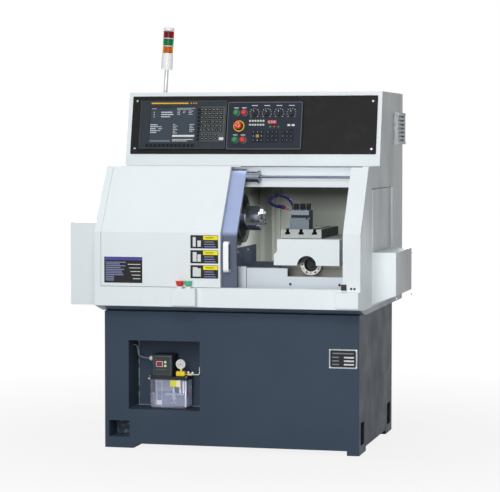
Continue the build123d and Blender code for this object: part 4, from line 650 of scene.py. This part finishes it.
class LATHE_OT_carriage(bpy.types.Operator):
    """Finish the saddle, the cross slide, the screws and the tool post"""

    bl_idname = "lathe.carriage"
    bl_label = "Finish carriage"

    def execute(self, context):
        dress(saddle_iron("saddle_iron", rgb(184, 186, 183)), "saddle")
        dress(slide_iron("ground_iron", rgb(158, 163, 160)), "cross_slide")
        dress(post_steel("post_steel", rgb(94, 103, 111)), "tool_post")
        dress(thread("z_thread", rgb(196, 197, 200), 0), "z_ballscrew")
        # The cross screw is painted near black, as painted shade inside the screw ring.
        dress(thread("x_thread", rgb(34, 35, 36), 1), "x_ballscrew")
        cover = Piece("saddle_cover_screws")
        for x, out in ((208, LEFT), (498, RIGHT)):
            for y in (75, 130):
                cover.screw((x, y, 930), out, bright_screw(), sizes().screw * 0.7)
        cover.done("carriage")
        # Black sleeve, floor and bolt-hole discs in the screw ring: painted shade in its bore and holes.
        bore_shade = Piece("screw_ring_bore_shade")
        x, y, z = RING_PLACE
        black = rubber("bore_shade_black", rgb(38, 40, 42))
        bore_shade.spin([(31.8, 0), (31.8, 43), (10.8, 43), (10.8, 41), (30.8, 41), (30.8, 0), (31.8, 0)], black,
                    (x, y + 1.5, z), BACK, 40)
        for i in range(6):
            turn = math.radians(60 * i)
            bore_shade.spin([(4.6, 0), (4.6, 0.4), (0, 0.4)], black,
                        (x + 40.5 * math.cos(turn), y, z + 40.5 * math.sin(turn)), FRONT, 14)
        bore_shade.done("carriage")
        skirt = Piece("bed_skirt")
        skirt.block((150, 156.5, 664), (598, 159.7, 838), enamel("skirt_enamel", rgb(158, 158, 148)), 0.8, 2)
        for x in (25, 66):
            skirt.block((x, 39.7, 690), (x + 2.4, 40.4, 846), seam_shadow())
        skirt.done("machine")
        return {"FINISHED"}


class LATHE_OT_door(bpy.types.Operator):
    """Finish the sliding door, its window, handle, bushings and rail"""

    bl_idname = "lathe.door"
    bl_label = "Finish door"

    def execute(self, context):
        dress(door_enamel("door_enamel", colours().door), "door_panel")
        dress(clear("window_clear", rgb(226, 236, 240), 1.0, 1.12, 0.02), "door_window")
        # Black strip on the door's top edge: painted shadow of the gap between the door and the roof.
        gap_shade = Piece("door_gap_shade")
        gap_shade.block((-553, 135.2, 1284.5), (44, 138, 1292), rubber("gap_shade_black", rgb(40, 42, 48)), 0.6, 2)
        gap_shade.done("door")
        dress(cap_plastic("handle_plastic", rgb(244, 246, 247)), "door_handle")
        dress(brushed("rail_steel", rgb(102, 106, 126), (0.1, 6, 6), roughness=0.3), "door_rail")
        dress(brushed("bushing_steel", rgb(112, 117, 130), (0.1, 6, 6), roughness=0.2, depth=0.00003),
              "door_bushings")
        return {"FINISHED"}


class LATHE_OT_display(bpy.types.Operator):
    """Build the screen picture, the key caps and the edge of the display unit"""

    bl_idname = "lathe.display"
    bl_label = "Build display"

    def execute(self, context):
        c = colours()
        dress(plastic("display_moulding", c.display, gloss=0.5, shine=0.12), "display_unit")
        dress(plastic("plate_black", c.plate, gloss=0.5, grain=300.0, shine=0.08), "control_panel")
        cap = plastic("key_cap", c.key, gloss=0.5, shine=0.1)
        dark_cap = plastic("dark_cap", tint(c.key, 0.5), gloss=0.5, shine=0.1)
        amber = plastic("amber_strip", rgb(222, 176, 44), gloss=0.35)
        unit = Piece("display_screen", HEAD)
        unit.block((-508, 110, 10.5), (-278, 282, SCREEN_TOP),
                   plastic("screen_ground", c.screen, gloss=0.3, shine=0.06))
        unit.patch((-505, 112), (-402, 121), SCREEN_TOP, 0.15, plastic("screen_field", rgb(108, 116, 128)))
        unit.patch((-392, 137), (-282, 146), SCREEN_TOP, 0.2, white_print())
        # Lines of the picture: left end, height of the first row, pitch, thickness, and each row's width
        for left, high, pitch, thick, widths in (
                (-500, 274, 9, 3, (22,)), (-374, 276, 5, 2.6, (90, 70)), (-490, 255, 11, 5, (4, 4, 4)),
                (-452, 255, 11, 5.4, (56, 60, 44)), (-372, 262, 8, 3, (16, 12, 16)),
                (-344, 262, 8, 3, (12, 10)), (-316, 262, 8, 3, (22, 14, 20)),
                (-503, 194, 9.4, 4.6, (34, 38, 26, 36, 30)), (-462, 185, 9.4, 3.6, (14, 18, 10)),
                (-390, 196, 8.4, 3, (10, 22, 14, 24, 12, 20)), (-308, 196, 8.4, 3.2, (24, 14, 20, 26, 18)),
                (-390, 122, 7, 3.6, (100, 74))):
            for row, width in enumerate(widths):
                low = high - row * pitch
                for start in range(left, left + width + 1, 8):
                    end = min(start + 6, left + width)
                    unit.patch((start, low), (end, low + thick), SCREEN_TOP, 0.25, white_print())
        unit.patch((-502, 297), (-318, 303.5), PANEL_TOP, 0.8, amber, 0.3)
        for x in (-308, -295, -282):
            unit.patch((x, 297.5), (x + 6, 303), PANEL_TOP, 0.8, amber, 0.3)
        unit.patch((-253, 113), (-133, 284), PANEL_TOP, 0.5, plastic("key_field", rgb(70, 75, 76)), 0.2)
        unit.border((-555, 78), (-127, 313), 3, 0.7, plastic("display_edge", rgb(62, 69, 76)))
        unit.done("machine")

        keys = Piece("display_keys", HEAD)
        rise = sizes().key_gap * MILLIMETRES
        side, low, high = 13, 3, 3 + rise
        top = PANEL_TOP + high
        for row in range(6):
            for column in range(6):
                x, s = -158 - column * 19, 262 - row * 20
                paint = dark_cap if (row + 2 * column) % 7 == 0 else cap
                keys.patch((x - rise, s - rise), (x + side + rise, s + side + rise), PANEL_TOP, high, paint,
                           1.6, 2)
                keys.patch((x + 3, s + 5), (x + 10, s + 6.4), top, 0.15, white_print())
                if (row + column) % 3:
                    keys.patch((x + 3, s + 8.4), (x + 7, s + 9.4), top, 0.15, white_print())
        for i in range(12):
            x = -520 + i * 20.5
            keys.patch((x - rise, 88 - rise), (x + side + rise, 100 + rise), PANEL_TOP, high, cap, 1.6, 2)
        for i in range(9):
            s = 118 + i * 18
            keys.patch((-268, s), (-256.5, s + 11), PANEL_TOP, 2.6, dark_cap, 1.2, 2)
        for row in range(2):
            for column in range(4):
                x, s = -250 + column * 22, 121 + row * 18
                keys.patch((x, s), (x + 15, s + 12), PANEL_TOP, low, cap, 1.6, 2)
                keys.patch((x + 4, s + 5), (x + 11, s + 6.4), PANEL_TOP + low, 0.2, white_print())
        keys.patch((-158, 119), (-136, 133), PANEL_TOP, low, white_print(), 1.6, 2)
        keys.done("machine")

        screws = Piece("plate_screws", HEAD)
        for x, s in ((-578, 315), (-578, 82), (578, 310), (578, 80)):
            screws.spin([(9, 0), (9, 0.8), (6, 0.8)], dark_screw(), (x, s, 3), sides=18)
            screws.screw((x, s, 3.6), UP, bright_screw(), sizes().screw * 0.75)
        screws.done("machine")
        return {"FINISHED"}


class LATHE_OT_operator_panel(bpy.types.Operator):
    """Build the operator panel's frame, dials, lamps, keypads and caps"""

    bl_idname = "lathe.operator_panel"
    bl_label = "Build operator panel"

    def execute(self, context):
        c = colours()
        dress(plastic("operator_film", c.operator, gloss=0.45, shine=0.1), "operator_panel")
        dress(cap_plastic("green_cap", c.green), "panel_button_1", "panel_button_3")
        dress(cap_plastic("start_cap", rgb(84, 176, 134)), "start_button")
        dress(cap_plastic("red_cap", c.red), "panel_button_2", "panel_button_4", "hold_button")
        dress(cap_plastic("estop_cap", rgb(214, 62, 30)), "estop_button")
        dress(plastic("knob_plastic", rgb(24, 24, 26), gloss=0.36), "knob_1", "knob_2", "knob_3", "knob_4")
        yellow = plastic("yellow_field", c.yellow, gloss=0.4)
        pad_cap = plastic("pad_cap", rgb(22, 26, 34), gloss=0.45, shine=0.1)
        pad_mark = plastic("pad_mark", rgb(150, 156, 164), gloss=0.45)
        pad_middle = plastic("pad_middle", rgb(150, 132, 44), gloss=0.45)
        pale_cap = plastic("pale_cap", rgb(204, 208, 208), gloss=0.4)
        digit_ground = plastic("digit_ground", rgb(176, 44, 52))
        collar = brushed("collar_metal", rgb(84, 90, 94), (1, 1, 1))
        lamp_red = lens("lamp_red", rgb(226, 48, 36), 0.25)
        lamp_green = lens("lamp_green", rgb(40, 170, 92), 0.15)
        top = PANEL_TOP
        panel = Piece("operator_print", HEAD)
        panel.border((-121, 75), (243, 306), 4, 0.6, plastic("panel_edge", rgb(84, 92, 98)))
        for x in KNOB_ROW:
            for i in range(10):
                turn = turn_at((x, KNOB_HEIGHT, 0), 135 - 30 * i, "Z")
                panel.block((-1, 20, top), (1, 23.5 if i % 3 else 25.5, top + 0.3), white_print(), turn=turn)
            panel.patch((x - 14, 286), (x + 14, 289), top, 0.3, white_print())
        for x, s in BUTTONS:
            panel.spin([(17.5, 0), (17.5, 1.4), (16, 2), (15.2, 2)], collar, (x, s, top))
            panel.patch((x - 11, s + 22), (x + 11, s + 25.5), top, 0.3, white_print())
        panel.spin([(27, 0), (27, 1.2), (26, 2), (22.4, 2)], yellow, (*STOP_PLACE, top), sides=40)
        for row in range(2):
            for i in range(6):
                x, s = -14 + i * 13, 190 + row * 19
                panel.patch((x, s), (x + 9.5, s + 8), top, 1.2, pale_cap, 0.6)
                panel.spin([(1.6, 0), (1.6, 0.6), (0, 1.4)], lamp_red if (i + row) % 4 == 1 else lamp_green,
                           (x + 4.5, s + 12.5, top), sides=10)
        panel.patch((76, 199), (120, 216), top, 1.4, digit_ground, 0.8, 2)
        for x in (80, 93, 106):
            for left, low, right, high in ((0, 212, 7, 213.4), (0, 207, 7, 208.4), (0, 202, 7, 203.4),
                                           (0, 202, 1.4, 213.4), (5.6, 202, 7, 213.4)):
                panel.patch((x + left, low), (x + right, high), top + 1.4, 0.2, white_print())
        for x, lamp in ((90, lamp_green), (110, lamp_red), (130, lamp_green)):
            panel.spin([(4, 0), (4, 1.5), (0, 3.2)], lamp, (x, 184, top), sides=16)
        for x in (180, 201):
            panel.patch((x - 7, 187), (x + 7, 197), top, 1.2, white_print(), 0.5)
        panel.spin([(8, 0), (8, 2), (5, 3), (5, 5), (2.4, 6), (3, 15), (2, 17), (0, 17.5)], black_print(),
                   (195, 171, top), (0, -0.25, 1), 16)
        pad_rise = 3.7
        for pad in range(3):
            mark = pad_mark if pad else white_print()
            for i in range(9):
                x, s = 3 + pad * 72 + (i % 3) * 20, 112 + (i // 3) * 20
                paint = pad_middle if pad == 0 and i == 4 else pad_cap
                panel.patch((x - 0.6, s - 0.6), (x + 14.6, s + 14.6), top, pad_rise, paint, 1.6, 2)
                panel.patch((x + 4, s + 6), (x + 10, s + 7.4), top + pad_rise, 0.2, mark)
                if (i + pad) % 2:
                    panel.patch((x + 6.3, s + 4), (x + 7.7, s + 10), top + pad_rise, 0.2, mark)
        panel.done("machine")
        for i, x in enumerate(KNOB_ROW):
            pointer = Piece(f"knob_pointer_{i + 1}", HEAD)
            pointer.patch((x - 0.9, 253), (x + 0.9, 262), top + 16.2, 0.5, white_print(), 0.3)
            pointer.done(f"knob_{i + 1}")
        stop = Piece("estop_arrows", HEAD)
        low, high = top + 28.05, top + 28.5
        for i in range(3):
            turn = turn_at((*STOP_PLACE, 0), 120 * i, "Z")
            stop.block((-4.5, 7.5, low), (3, 9.3, high), white_print(), turn=turn)
            stop.prism([(3, 5.8), (7.4, 8.4), (3, 11)], low, high, white_print(), turn=turn)
        stop.done("estop")
        return {"FINISHED"}


class LATHE_OT_tower(bpy.types.Operator):
    """Finish the light tower"""

    bl_idname = "lathe.tower"
    bl_label = "Finish light tower"

    def execute(self, context):
        white = cap_plastic("tower_white", rgb(240, 241, 241))
        dress(white, "tower_housing")
        dress(brushed("pole_alloy", rgb(196, 198, 202), (6, 6, 0.2), roughness=0.34, depth=0.00001),
              "tower_pole")
        for name, steps in (("amber", (214, 132, 36)), ("green", (26, 146, 96)), ("red", (158, 24, 44))):
            dress(lens(f"lens_{name}", rgb(*steps), 0.02, 0.85), f"tower_lens_{name}")
        rings = Piece("tower_rings", MACHINE @ turn_at((-483, 620, CABINET_TOP), 3.7, "Y"))
        for height in (195, 229, 232, 266, 269, 303):
            ring = ((26.9, -0.9), (27.8, -0.5), (27.8, 0.5), (26.9, 0.9))
            rings.spin([(radius, height + rise) for radius, rise in ring], white, sides=40)
        rings.done("machine")
        return {"FINISHED"}


class LATHE_OT_plates(bpy.types.Operator):
    """Fix the printed plates and the fasteners of the casings"""

    bl_idname = "lathe.plates"
    bl_label = "Fix plates and fasteners"

    def execute(self, context):
        blue = plastic("blue_field", rgb(78, 76, 152), gloss=0.4)
        lemon = plastic("lemon_field", rgb(236, 222, 34), gloss=0.4)
        faint = plastic("faint_print", rgb(128, 132, 168))
        dull = plastic("dull_print", rgb(128, 136, 138))
        alloy = brushed("plate_alloy", rgb(140, 145, 150), (0.4, 6, 6), roughness=0.34)
        front = Piece("front_plates")
        face = COVER_FACE
        ground, field, mark = face - 1, face - 1.3, face - 1.2
        front.block((-573, ground, 774), (-391, face, 893), black_print(), 0.4, 1)
        front.block((-571, field, 878), (-393, ground, 891), blue, 0.1, 1)
        for row in range(11):
            low = 866 - row * 8.2
            width = 96 * (0.7 + 0.3 * math.cos(row * 1.7) ** 2) if row < 8 else 40
            front.block((-566, mark, low), (-566 + width, ground, low + 4.5), faint)
            if row % 2:
                front.block((-462 + 3 * row, mark, low), (-400, ground, low + 3), white_print())
        for number, low in enumerate((936, 868, 800)):
            high = low + 60
            front.block((-163, ground, low), (-33, face, high), black_print(), 0.4, 1)
            front.block((-103, field, high - 21), (-35, ground, high - 2), lemon, 0.1, 1)
            front.block((-92, field - 0.2, high - 13), (-54, field, high - 10), black_print())
            for row in range(3):
                line = low + 6 + row * 11
                front.block((-98, mark, line), (-44 - row * 5, ground, line + 4), faint)
            for left, right, top in ((-152, -138 + 4 * number, high - 9),
                                     (-130, -114, high - 24 + 5 * number)):
                front.block((left, field, low + 8), (right, ground, top), white_print(), 0.1, 1)
        front.block((-588, face - 0.25, 757), (-23, face + 0.5, 759.2), seam_shadow())
        front.block((-589.6, face - 0.25, 758), (-588, face + 0.5, 1006), seam_shadow())
        front.block((619, 200, 1200), (622.8, 686, 1203.5), plastic("slot_shadow", rgb(44, 46, 46)))
        front.done("machine")

        base = Piece("base_plate")
        base.block((461, -1.2, 396), (591, 0, 484), alloy, 0.4, 1)
        outline = []
        for x, z, start in ((579, 408, -90), (579, 472, 0), (473, 472, 90), (473, 408, 180)):
            for a in (math.radians(start + 30 * i) for i in range(4)):
                outline.append((x + 6 * math.cos(a), z + 6 * math.sin(a)))
        base.prism(outline, 1.2, 1.5, black_print(), turn_at((0, 0, 0), 90, "X"))
        base.block((478, -1.7, 462), (574, -1.5, 467), dull)
        for low in (411, 427, 443):
            base.block((476, -1.7, low + 1), (506, -1.5, low + 6), dull)
            base.block((530, -1.7, low), (576, -1.5, low + 7), white_print())
        for x, z in ((465.5, 400.5), (586.5, 400.5), (465.5, 479.5), (586.5, 479.5)):
            base.spin([(2.6, 0), (2.4, 1.4), (0, 2.2)], bright_screw(), (x, -1.2, z), FRONT, 10)
        base.done("machine")

        screws = Piece("casing_screws")
        radius = sizes().screw
        for x, z in ((272, 771), (500, 771)):
            screws.screw((x, 45, z), FRONT, dark_screw(), radius)
        for x in (-600, -300, 0, 300, 600):
            for y in (895, 1030):
                screws.screw((x, y, CABINET_TOP), UP, bright_screw(), radius)
        for x, out, places in (
                (636, RIGHT, ((824, 1414), (1041, 1414), (824, 1553), (1041, 1553))),
                (732, RIGHT, ((215, 700), (640, 690), (215, 890), (640, 890))),
                (-815, LEFT, ((170, 670), (630, 670), (170, 1018), (630, 1018)))):
            for y, z in places:
                screws.screw((x, y, z), out, bright_screw(), radius)
        screws.done("machine")

        stop = Piece("door_stop")
        stop.block((534, face - 12, 757), (558, face, 783), rubber("stop_rubber", rgb(26, 26, 27)), 2.5, 3)
        for x in (579, 594):
            stop.screw((x, face, 764), FRONT, dark_screw(), radius * 0.9)
        stop.done("machine")
        seam = Piece("roof_seam")
        seam.block((24, 110.4, 1302.8), (592, 113.6, 1306.4), seam_shadow())
        seam.done("machine")
        return {"FINISHED"}


class LATHE_OT_lubricator(bpy.types.Operator):
    """Finish the oil tank, the pump head, its gauge and marks"""

    bl_idname = "lathe.lubricator"
    bl_label = "Finish lubricator"

    def execute(self, context):
        dress(clear("tank_clear", rgb(242, 244, 250), 0.96, 1.1, 0.04), "lube_tank")
        dress(plastic("pump_black", rgb(40, 43, 47), gloss=0.5), "lube_pump")
        dress(brushed("gauge_metal", rgb(206, 204, 196), (1, 1, 1), roughness=0.4), "lube_gauge")
        oil = clear("oil", rgb(222, 226, 240), 0.8, 1.1, 0.05)
        milk = plastic("milk_plastic", rgb(226, 228, 236), gloss=0.35)
        lime = plastic("lime_field", rgb(226, 224, 84))
        cream = plastic("cream_field", rgb(250, 240, 206), gloss=0.4)
        haze = plastic("haze_plastic", rgb(182, 188, 208), gloss=0.35)
        bezel = plastic("pump_bezel", rgb(92, 102, 108), gloss=0.4)
        pump_face = plastic("pump_face", rgb(52, 62, 66), gloss=0.5)
        digits = plastic("pump_digits", rgb(150, 52, 62))
        pump_lamp = cap_plastic("pump_lamp", rgb(146, 26, 40))
        rim = plastic("lime_rim", rgb(70, 92, 60))
        pump_key = cap_plastic("pump_key", rgb(214, 228, 168))
        outlet = cap_plastic("outlet_yellow", rgb(244, 212, 20))
        nut = plastic("pipe_nut", rgb(226, 216, 170))
        parts = Piece("lubricator_parts")
        parts.block((-393, 47, 187), (-221, 126, 254), oil, 5, 2)
        parts.block((-396, 128, 190), (-218, 132, 312), haze, 1, 1)
        parts.spin([(5.5, 0), (5.5, 112), (0, 112)], milk, (-288, 70, 206), UP, 16)
        parts.spin([(10, 0), (13, 3), (13, 9), (10, 12), (0, 12)], milk, (-288, 70, 222), UP, 24)
        parts.block((-326, 66, 244), (-240, 74, 251), milk, 1.5, 2)
        parts.spin([(13, 0), (13, 10), (8, 14), (0, 14)], milk, (-288, 70, 240), UP, 24)
        parts.block((-302, 62, 206), (-276, 78, 211), milk, 1.5, 2)
        for left, right, low, top in ((-254, -247, 256, 314), (-239, -231, 256, 314), (-228, -221, 192, 312)):
            parts.block((left, 46, low), (right, 52, top), milk, 1.5, 2)
        parts.block((-297, 37.4, 286), (-268, 38.6, 316), lime, 0.3, 1)
        parts.block((-268, 37.4, 286), (-247, 38.6, 316), cream, 0.3, 1)
        for x in (-362, -338):
            for i in range(15):
                parts.block((x, 38.2, 220 + i * 6), (x + 3.4, 40.5, 223.4 + i * 6), milk, 0.6, 1)
        for x in (-364, -348, -338):
            parts.block((x, 38, 306), (x + 6, 40.5, 311), milk, 1.2, 2)
        parts.block((-362, 37.6, 199), (-335, 40.5, 221), milk, 1.0, 2)
        parts.block((-380, 38.4, 339), (-291, 40, 428), bezel, 1.2, 2)
        parts.block((-378, 37.9, 341), (-294, 38.5, 425), pump_face, 0.2, 1)
        parts.block((-361, 37.4, 379), (-334, 37.9, 401), digits, 0.2, 1)
        for left, low, right, high in (
                (-363, 377, -332, 379), (-363, 401, -332, 403), (-363, 377, -361, 403),
                (-334, 379, -330, 385), (-334, 387, -330, 393), (-334, 395, -330, 401)):
            parts.block((left, 37.3, low), (right, 37.9, high), white_print())
        parts.block((-364, 37.4, 364), (-312, 37.9, 367), bezel)
        parts.spin([(6, 0), (6, 1.2), (4, 3), (0, 3.4)], pump_lamp, (-366, 38, 410), FRONT, 16)
        for z in (382, 399):
            parts.spin([(8, 0), (8, 1), (7, 1.6)], rim, (-319, 38, z), FRONT, 18)
            parts.spin([(6, 0), (6, 2), (4.4, 3), (0, 3.4)], pump_key, (-319, 38, z), FRONT, 18)
        parts.block((-269, 37.6, 336), (-227, 75, 358), outlet, 4, 3)
        parts.spin([(11.5, 0), (11.5, 17), (9.5, 22), (5.5, 26), (3.4, 27)], white_print(),
                   (GLAND[0] + 12, GLAND[1], GLAND[2]), LEFT, 24)
        for x, z in ((-214, 352), (-194, 350)):
            parts.spin([(6, -4), (6, 4), (4, 5), (0, 5)], bright_screw(), (x, 57, z), FRONT, 6)
        parts.spin([(5.5, 0), (5.5, 22), (4, 24), (3.2, 24)], nut, (-218, 57, 343), RIGHT, 6)
        parts.spin([(18, 0), (18, 10), (15, 13), (0, 13)], black_print(), (-238, 112, 331), UP, 28)
        for x in (-394, -220):
            parts.screw((x, 46, 331), UP, bright_screw(), 0.005)
        parts.screw((-397, 38, 322), FRONT, bright_screw(), 0.005)
        parts.done("machine")

        dial = Piece("gauge_dial")
        x, y, z = GAUGE_PLACE
        dial.spin([(0, 0), (19, 0), (19, 0.6), (0, 0.6)], white_print(), GAUGE_PLACE, FRONT, 36)
        for i in range(11):
            turn = turn_at((x, y - 0.7, z), -135 + 27 * i, "Y")
            dial.block((-0.5, -0.2, 13 if i % 5 else 11), (0.5, 0, 17), black_print(), turn=turn)
        # The needle takes the panel lamps' red lens finish, so it glows faintly though it is no lamp: painted
        # light.
        glowing_needle = finish_of(lens, "lamp_red", rgb(226, 48, 36), 0.25)
        dial.block((-0.6, -0.3, -4), (0.6, 0, 14), glowing_needle, turn=turn_at((x, y - 1, z), -118, "Y"))
        dial.spin([(2.4, 0), (2.4, 1.2), (0, 1.6)], black_print(), (x, y - 0.8, z), FRONT, 14)
        dial.done("machine")
        return {"FINISHED"}


def smooth_route(name, points):
    """A NURBS line through the neighbourhood of a few points, given in millimetres."""
    curve = bpy.data.curves.new(name, "CURVE")
    curve.dimensions, curve.resolution_u = "3D", 16
    spline = curve.splines.new("NURBS")
    spline.points.add(len(points) - 1)
    for knot, point in zip(spline.points, points):
        knot.co = (*(MACHINE @ Vector(point)), 1)
    spline.order_u, spline.use_endpoint_u = 3, True
    line = bpy.data.objects.new(name, curve)
    bpy.context.scene.collection.objects.link(line)
    return line


def route_points(line):
    """The line's own points in metres, in order."""
    bpy.context.view_layer.update()
    mesh = bpy.data.meshes.new_from_object(line)
    points = [v.co.copy() for v in mesh.vertices]
    bpy.data.meshes.remove(mesh)
    return points


class LATHE_OT_pump_cable(bpy.types.Operator):
    """Lead the cable from the pump's gland to the side of the recess"""

    bl_idname = "lathe.pump_cable"
    bl_label = "Lead pump cable"

    def execute(self, context):
        route = (GLAND, (-420, 85, 411), (-465, 85, 419), (-465, 85, 473), (-485, 85, 473))
        line = smooth_route("pump_cable", route)
        points = route_points(line)
        line.data.bevel_depth, line.data.bevel_resolution = sizes().cable, 3
        line.data.use_fill_caps = True
        line.data.materials.append(rubber("cable_sheath", rgb(112, 116, 118)))
        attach(line, "machine")
        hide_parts("lube_cable")
        return {"FINISHED"}


class LATHE_OT_coolant_hose(bpy.types.Operator):
    """String the coolant hose from ball segments, with its foot and nozzle"""

    bl_idname = "lathe.coolant_hose"
    bl_label = "String coolant hose"

    def execute(self, context):
        foot = Vector((236, 330, 1018.6))
        offsets = ((0, 0, 24), (0, 0, 72), (-22, -26, 134), (-66, -68, 158), (-110, -94, 132),
                   (-90, -104, 102), (-40, -110, 98))
        line = smooth_route("hose_line", [foot + Vector(p) for p in offsets])
        points = [MACHINE.inverted() @ p for p in route_points(line)]
        bpy.data.objects.remove(line)
        blue = plastic("hose_blue", colours().hose, gloss=0.4)
        red = cap_plastic("nozzle_red", rgb(176, 34, 34))
        hose = Piece("segmented_hose")
        step, run, ball = sizes().segment * MILLIMETRES, 0.0, 0
        segment = [(5.2, -0.5), (7.6, 0.5), (9, 3), (9, 5.5), (7.4, 8), (5.6, 9), (5.2, step + 1)]
        for a, b in zip(points, points[1:]):
            run += (b - a).length
            if run >= ball * step:
                hose.spin(segment, blue, a, (b - a).normalized(), 18)
                ball += 1
        end = points[-1]
        axis = (foot + Vector((-12, -111, 88)) - end).normalized()
        hose.spin([(0, -8), (6, -7.5), (9.5, -4), (9.8, 0), (9.5, 4), (8.2, 6), (8.2, 9), (6, 17)], blue,
                  end, axis, 20)
        hose.spin([(6.4, 16.5), (6.4, 18), (4.4, 28), (3.8, 30), (2.6, 30), (2.4, 20), (0, 20)], red,
                  end, axis, 20)
        hose.block(foot + Vector((-15, -15, 0)), foot + Vector((15, 15, 22)), black_print(), 2.5, 3)
        hose.spin([(10, 22), (10, 28), (7, 31), (0, 31)], blue, foot, UP, 20)
        hose.done("cross", ("coolant_hose",))
        return {"FINISHED"}


class LATHE_OT_rear(bpy.types.Operator):
    """Fit the latches and hinges of the rear doors"""

    bl_idname = "lathe.rear"
    bl_label = "Fit rear doors"

    def execute(self, context):
        latch = Piece("rear_latches")
        back = REAR_FACE
        for x in (-40, 40):
            for z in (950, 1450):
                latch.spin([(14, 0), (14, 3), (11, 5), (0, 5)], dark_screw(), (x, back, z), BACK, 24)
                latch.block((x - 2, back + 5, z - 8), (x + 2, back + 7, z + 8), bright_screw(), 0.6, 1)
        for x in (-575, 575):
            for z in (830, 1180, 1540):
                latch.spin([(6, -24), (6, 24), (0, 24)], bright_screw(), (x, back + 3, z), UP, 16)
                latch.block((x - 14, back, z - 22), (x + 14, back + 1.6, z + 22), bright_screw(), 0.5, 1)
        latch.done("machine")
        return {"FINISHED"}


class LATHE_OT_stage(bpy.types.Operator):
    """Set the pale floor, the soft lamps, the world and the camera"""

    bl_idname = "lathe.stage"
    bl_label = "Set stage"

    def execute(self, context):
        scene = context.scene
        scene.view_settings.view_transform = "Standard"
        floor = bpy.data.objects.new("floor", bpy.data.meshes.new("floor"))
        reach = FLOOR_REACH
        corners = [(-reach, -reach, 0), (reach, -reach, 0), (reach, reach, 0), (-reach, reach, 0)]
        floor.data.from_pydata(corners, [], [(0, 1, 2, 3)])
        scene.collection.objects.link(floor)
        f = Finish("pale_floor")
        x, y, _ = f.axes()
        far = f.rise((x * x + y * y) ** 0.5, 0.9, 3.0)
        seen = self.seen(f) * (0.86 + 0.14 * far)
        ground = f.node("ShaderNodeBsdfDiffuse", None, {"Color": (0.5, 0.5, 0.5)})
        glow = f.node("ShaderNodeEmission", None, {"Color": (1, 1, 1), "Strength": 1.0})
        f.node("ShaderNodeOutputMaterial", None,
               {"Surface": f.node("ShaderNodeMixShader", None, {0: seen, 1: ground, 2: glow})})
        floor.data.materials.append(f.material)
        world = bpy.data.worlds.new("studio")
        world.use_nodes = True
        scene.world = world
        w = Nodes(world.node_tree)
        seen = self.seen(w)
        fill = w.node("ShaderNodeBackground", None, {"Color": (0.96, 0.98, 1.0), "Strength": 0.14})
        white = w.node("ShaderNodeBackground", None, {"Color": (1, 1, 1), "Strength": 1.0})
        w.node("ShaderNodeOutputWorld", None,
               {"Surface": w.node("ShaderNodeMixShader", None, {0: seen, 1: fill, 2: white})})
        for lamp in LAMPS:
            self.lamp(*lamp)
        camera = bpy.data.objects.new("camera", bpy.data.cameras.new("camera"))
        scene.collection.objects.link(camera)
        camera.location = CAMERA_PLACE
        camera.rotation_euler = (CAMERA_TILT, 0, CAMERA_TURN)
        camera.data.sensor_width = SENSOR_WIDTH
        camera.data.lens = SENSOR_WIDTH * FOCAL_PIXELS / PICTURE_WIDTH
        camera.data.clip_end = 100
        scene.camera = camera
        return {"FINISHED"}

    @staticmethod
    def seen(f):
        """1 for rays that look at the background, straight or through gloss and glass."""
        path = f.node("ShaderNodeLightPath").socket.node.outputs
        return Shade(f, path["Is Camera Ray"]).most(Shade(f, path["Is Glossy Ray"])).most(
            Shade(f, path["Is Transmission Ray"]))

    @staticmethod
    def lamp(name, where, aim, size, watts, spread, height):
        """A soft lamp that the camera doesn't see."""
        lamp = bpy.data.objects.new(name, bpy.data.lights.new(name, "AREA"))
        lamp.data.energy, lamp.data.size, lamp.data.spread = watts, size, math.radians(spread)
        if height:
            lamp.data.shape, lamp.data.size_y = "RECTANGLE", height
        lamp.location, lamp.visible_camera = where, False
        lamp.rotation_euler = (Vector(aim) - Vector(where)).to_track_quat("-Z", "Y").to_euler()
        bpy.context.scene.collection.objects.link(lamp)


TASKS = (LATHE_OT_casings, LATHE_OT_drive, LATHE_OT_carriage, LATHE_OT_door, LATHE_OT_display,
         LATHE_OT_operator_panel, LATHE_OT_tower, LATHE_OT_plates, LATHE_OT_lubricator, LATHE_OT_pump_cable,
         LATHE_OT_coolant_hose, LATHE_OT_rear, LATHE_OT_stage)


class LATHE_PT_sidebar(bpy.types.Panel):
    """Lists the lathe's tasks, colours and sizes."""

    bl_idname = "LATHE_PT_sidebar"
    bl_label = "Compact lathe"
    bl_space_type = "VIEW_3D"
    bl_region_type = "UI"
    bl_category = "Lathe"

    def draw(self, context):
        for task in TASKS:
            self.layout.operator(task.bl_idname)
        for group in (context.scene.lathe_colours, context.scene.lathe_sizes):
            for name in group.__annotations__:
                self.layout.prop(group, name)


CLASSES = (LatheColours, LatheSizes) + TASKS + (LATHE_PT_sidebar,)


def register():
    for kind in CLASSES:
        bpy.utils.register_class(kind)
    bpy.types.Scene.lathe_colours = PointerProperty(type=LatheColours)
    bpy.types.Scene.lathe_sizes = PointerProperty(type=LatheSizes)


def unregister():
    del bpy.types.Scene.lathe_colours
    del bpy.types.Scene.lathe_sizes
    for kind in reversed(CLASSES):
        bpy.utils.unregister_class(kind)


def main():
    register()
    for task in TASKS:
        group, name = task.bl_idname.split(".")
        getattr(getattr(bpy.ops, group), name)()


if __name__ == "__main__":
    main()
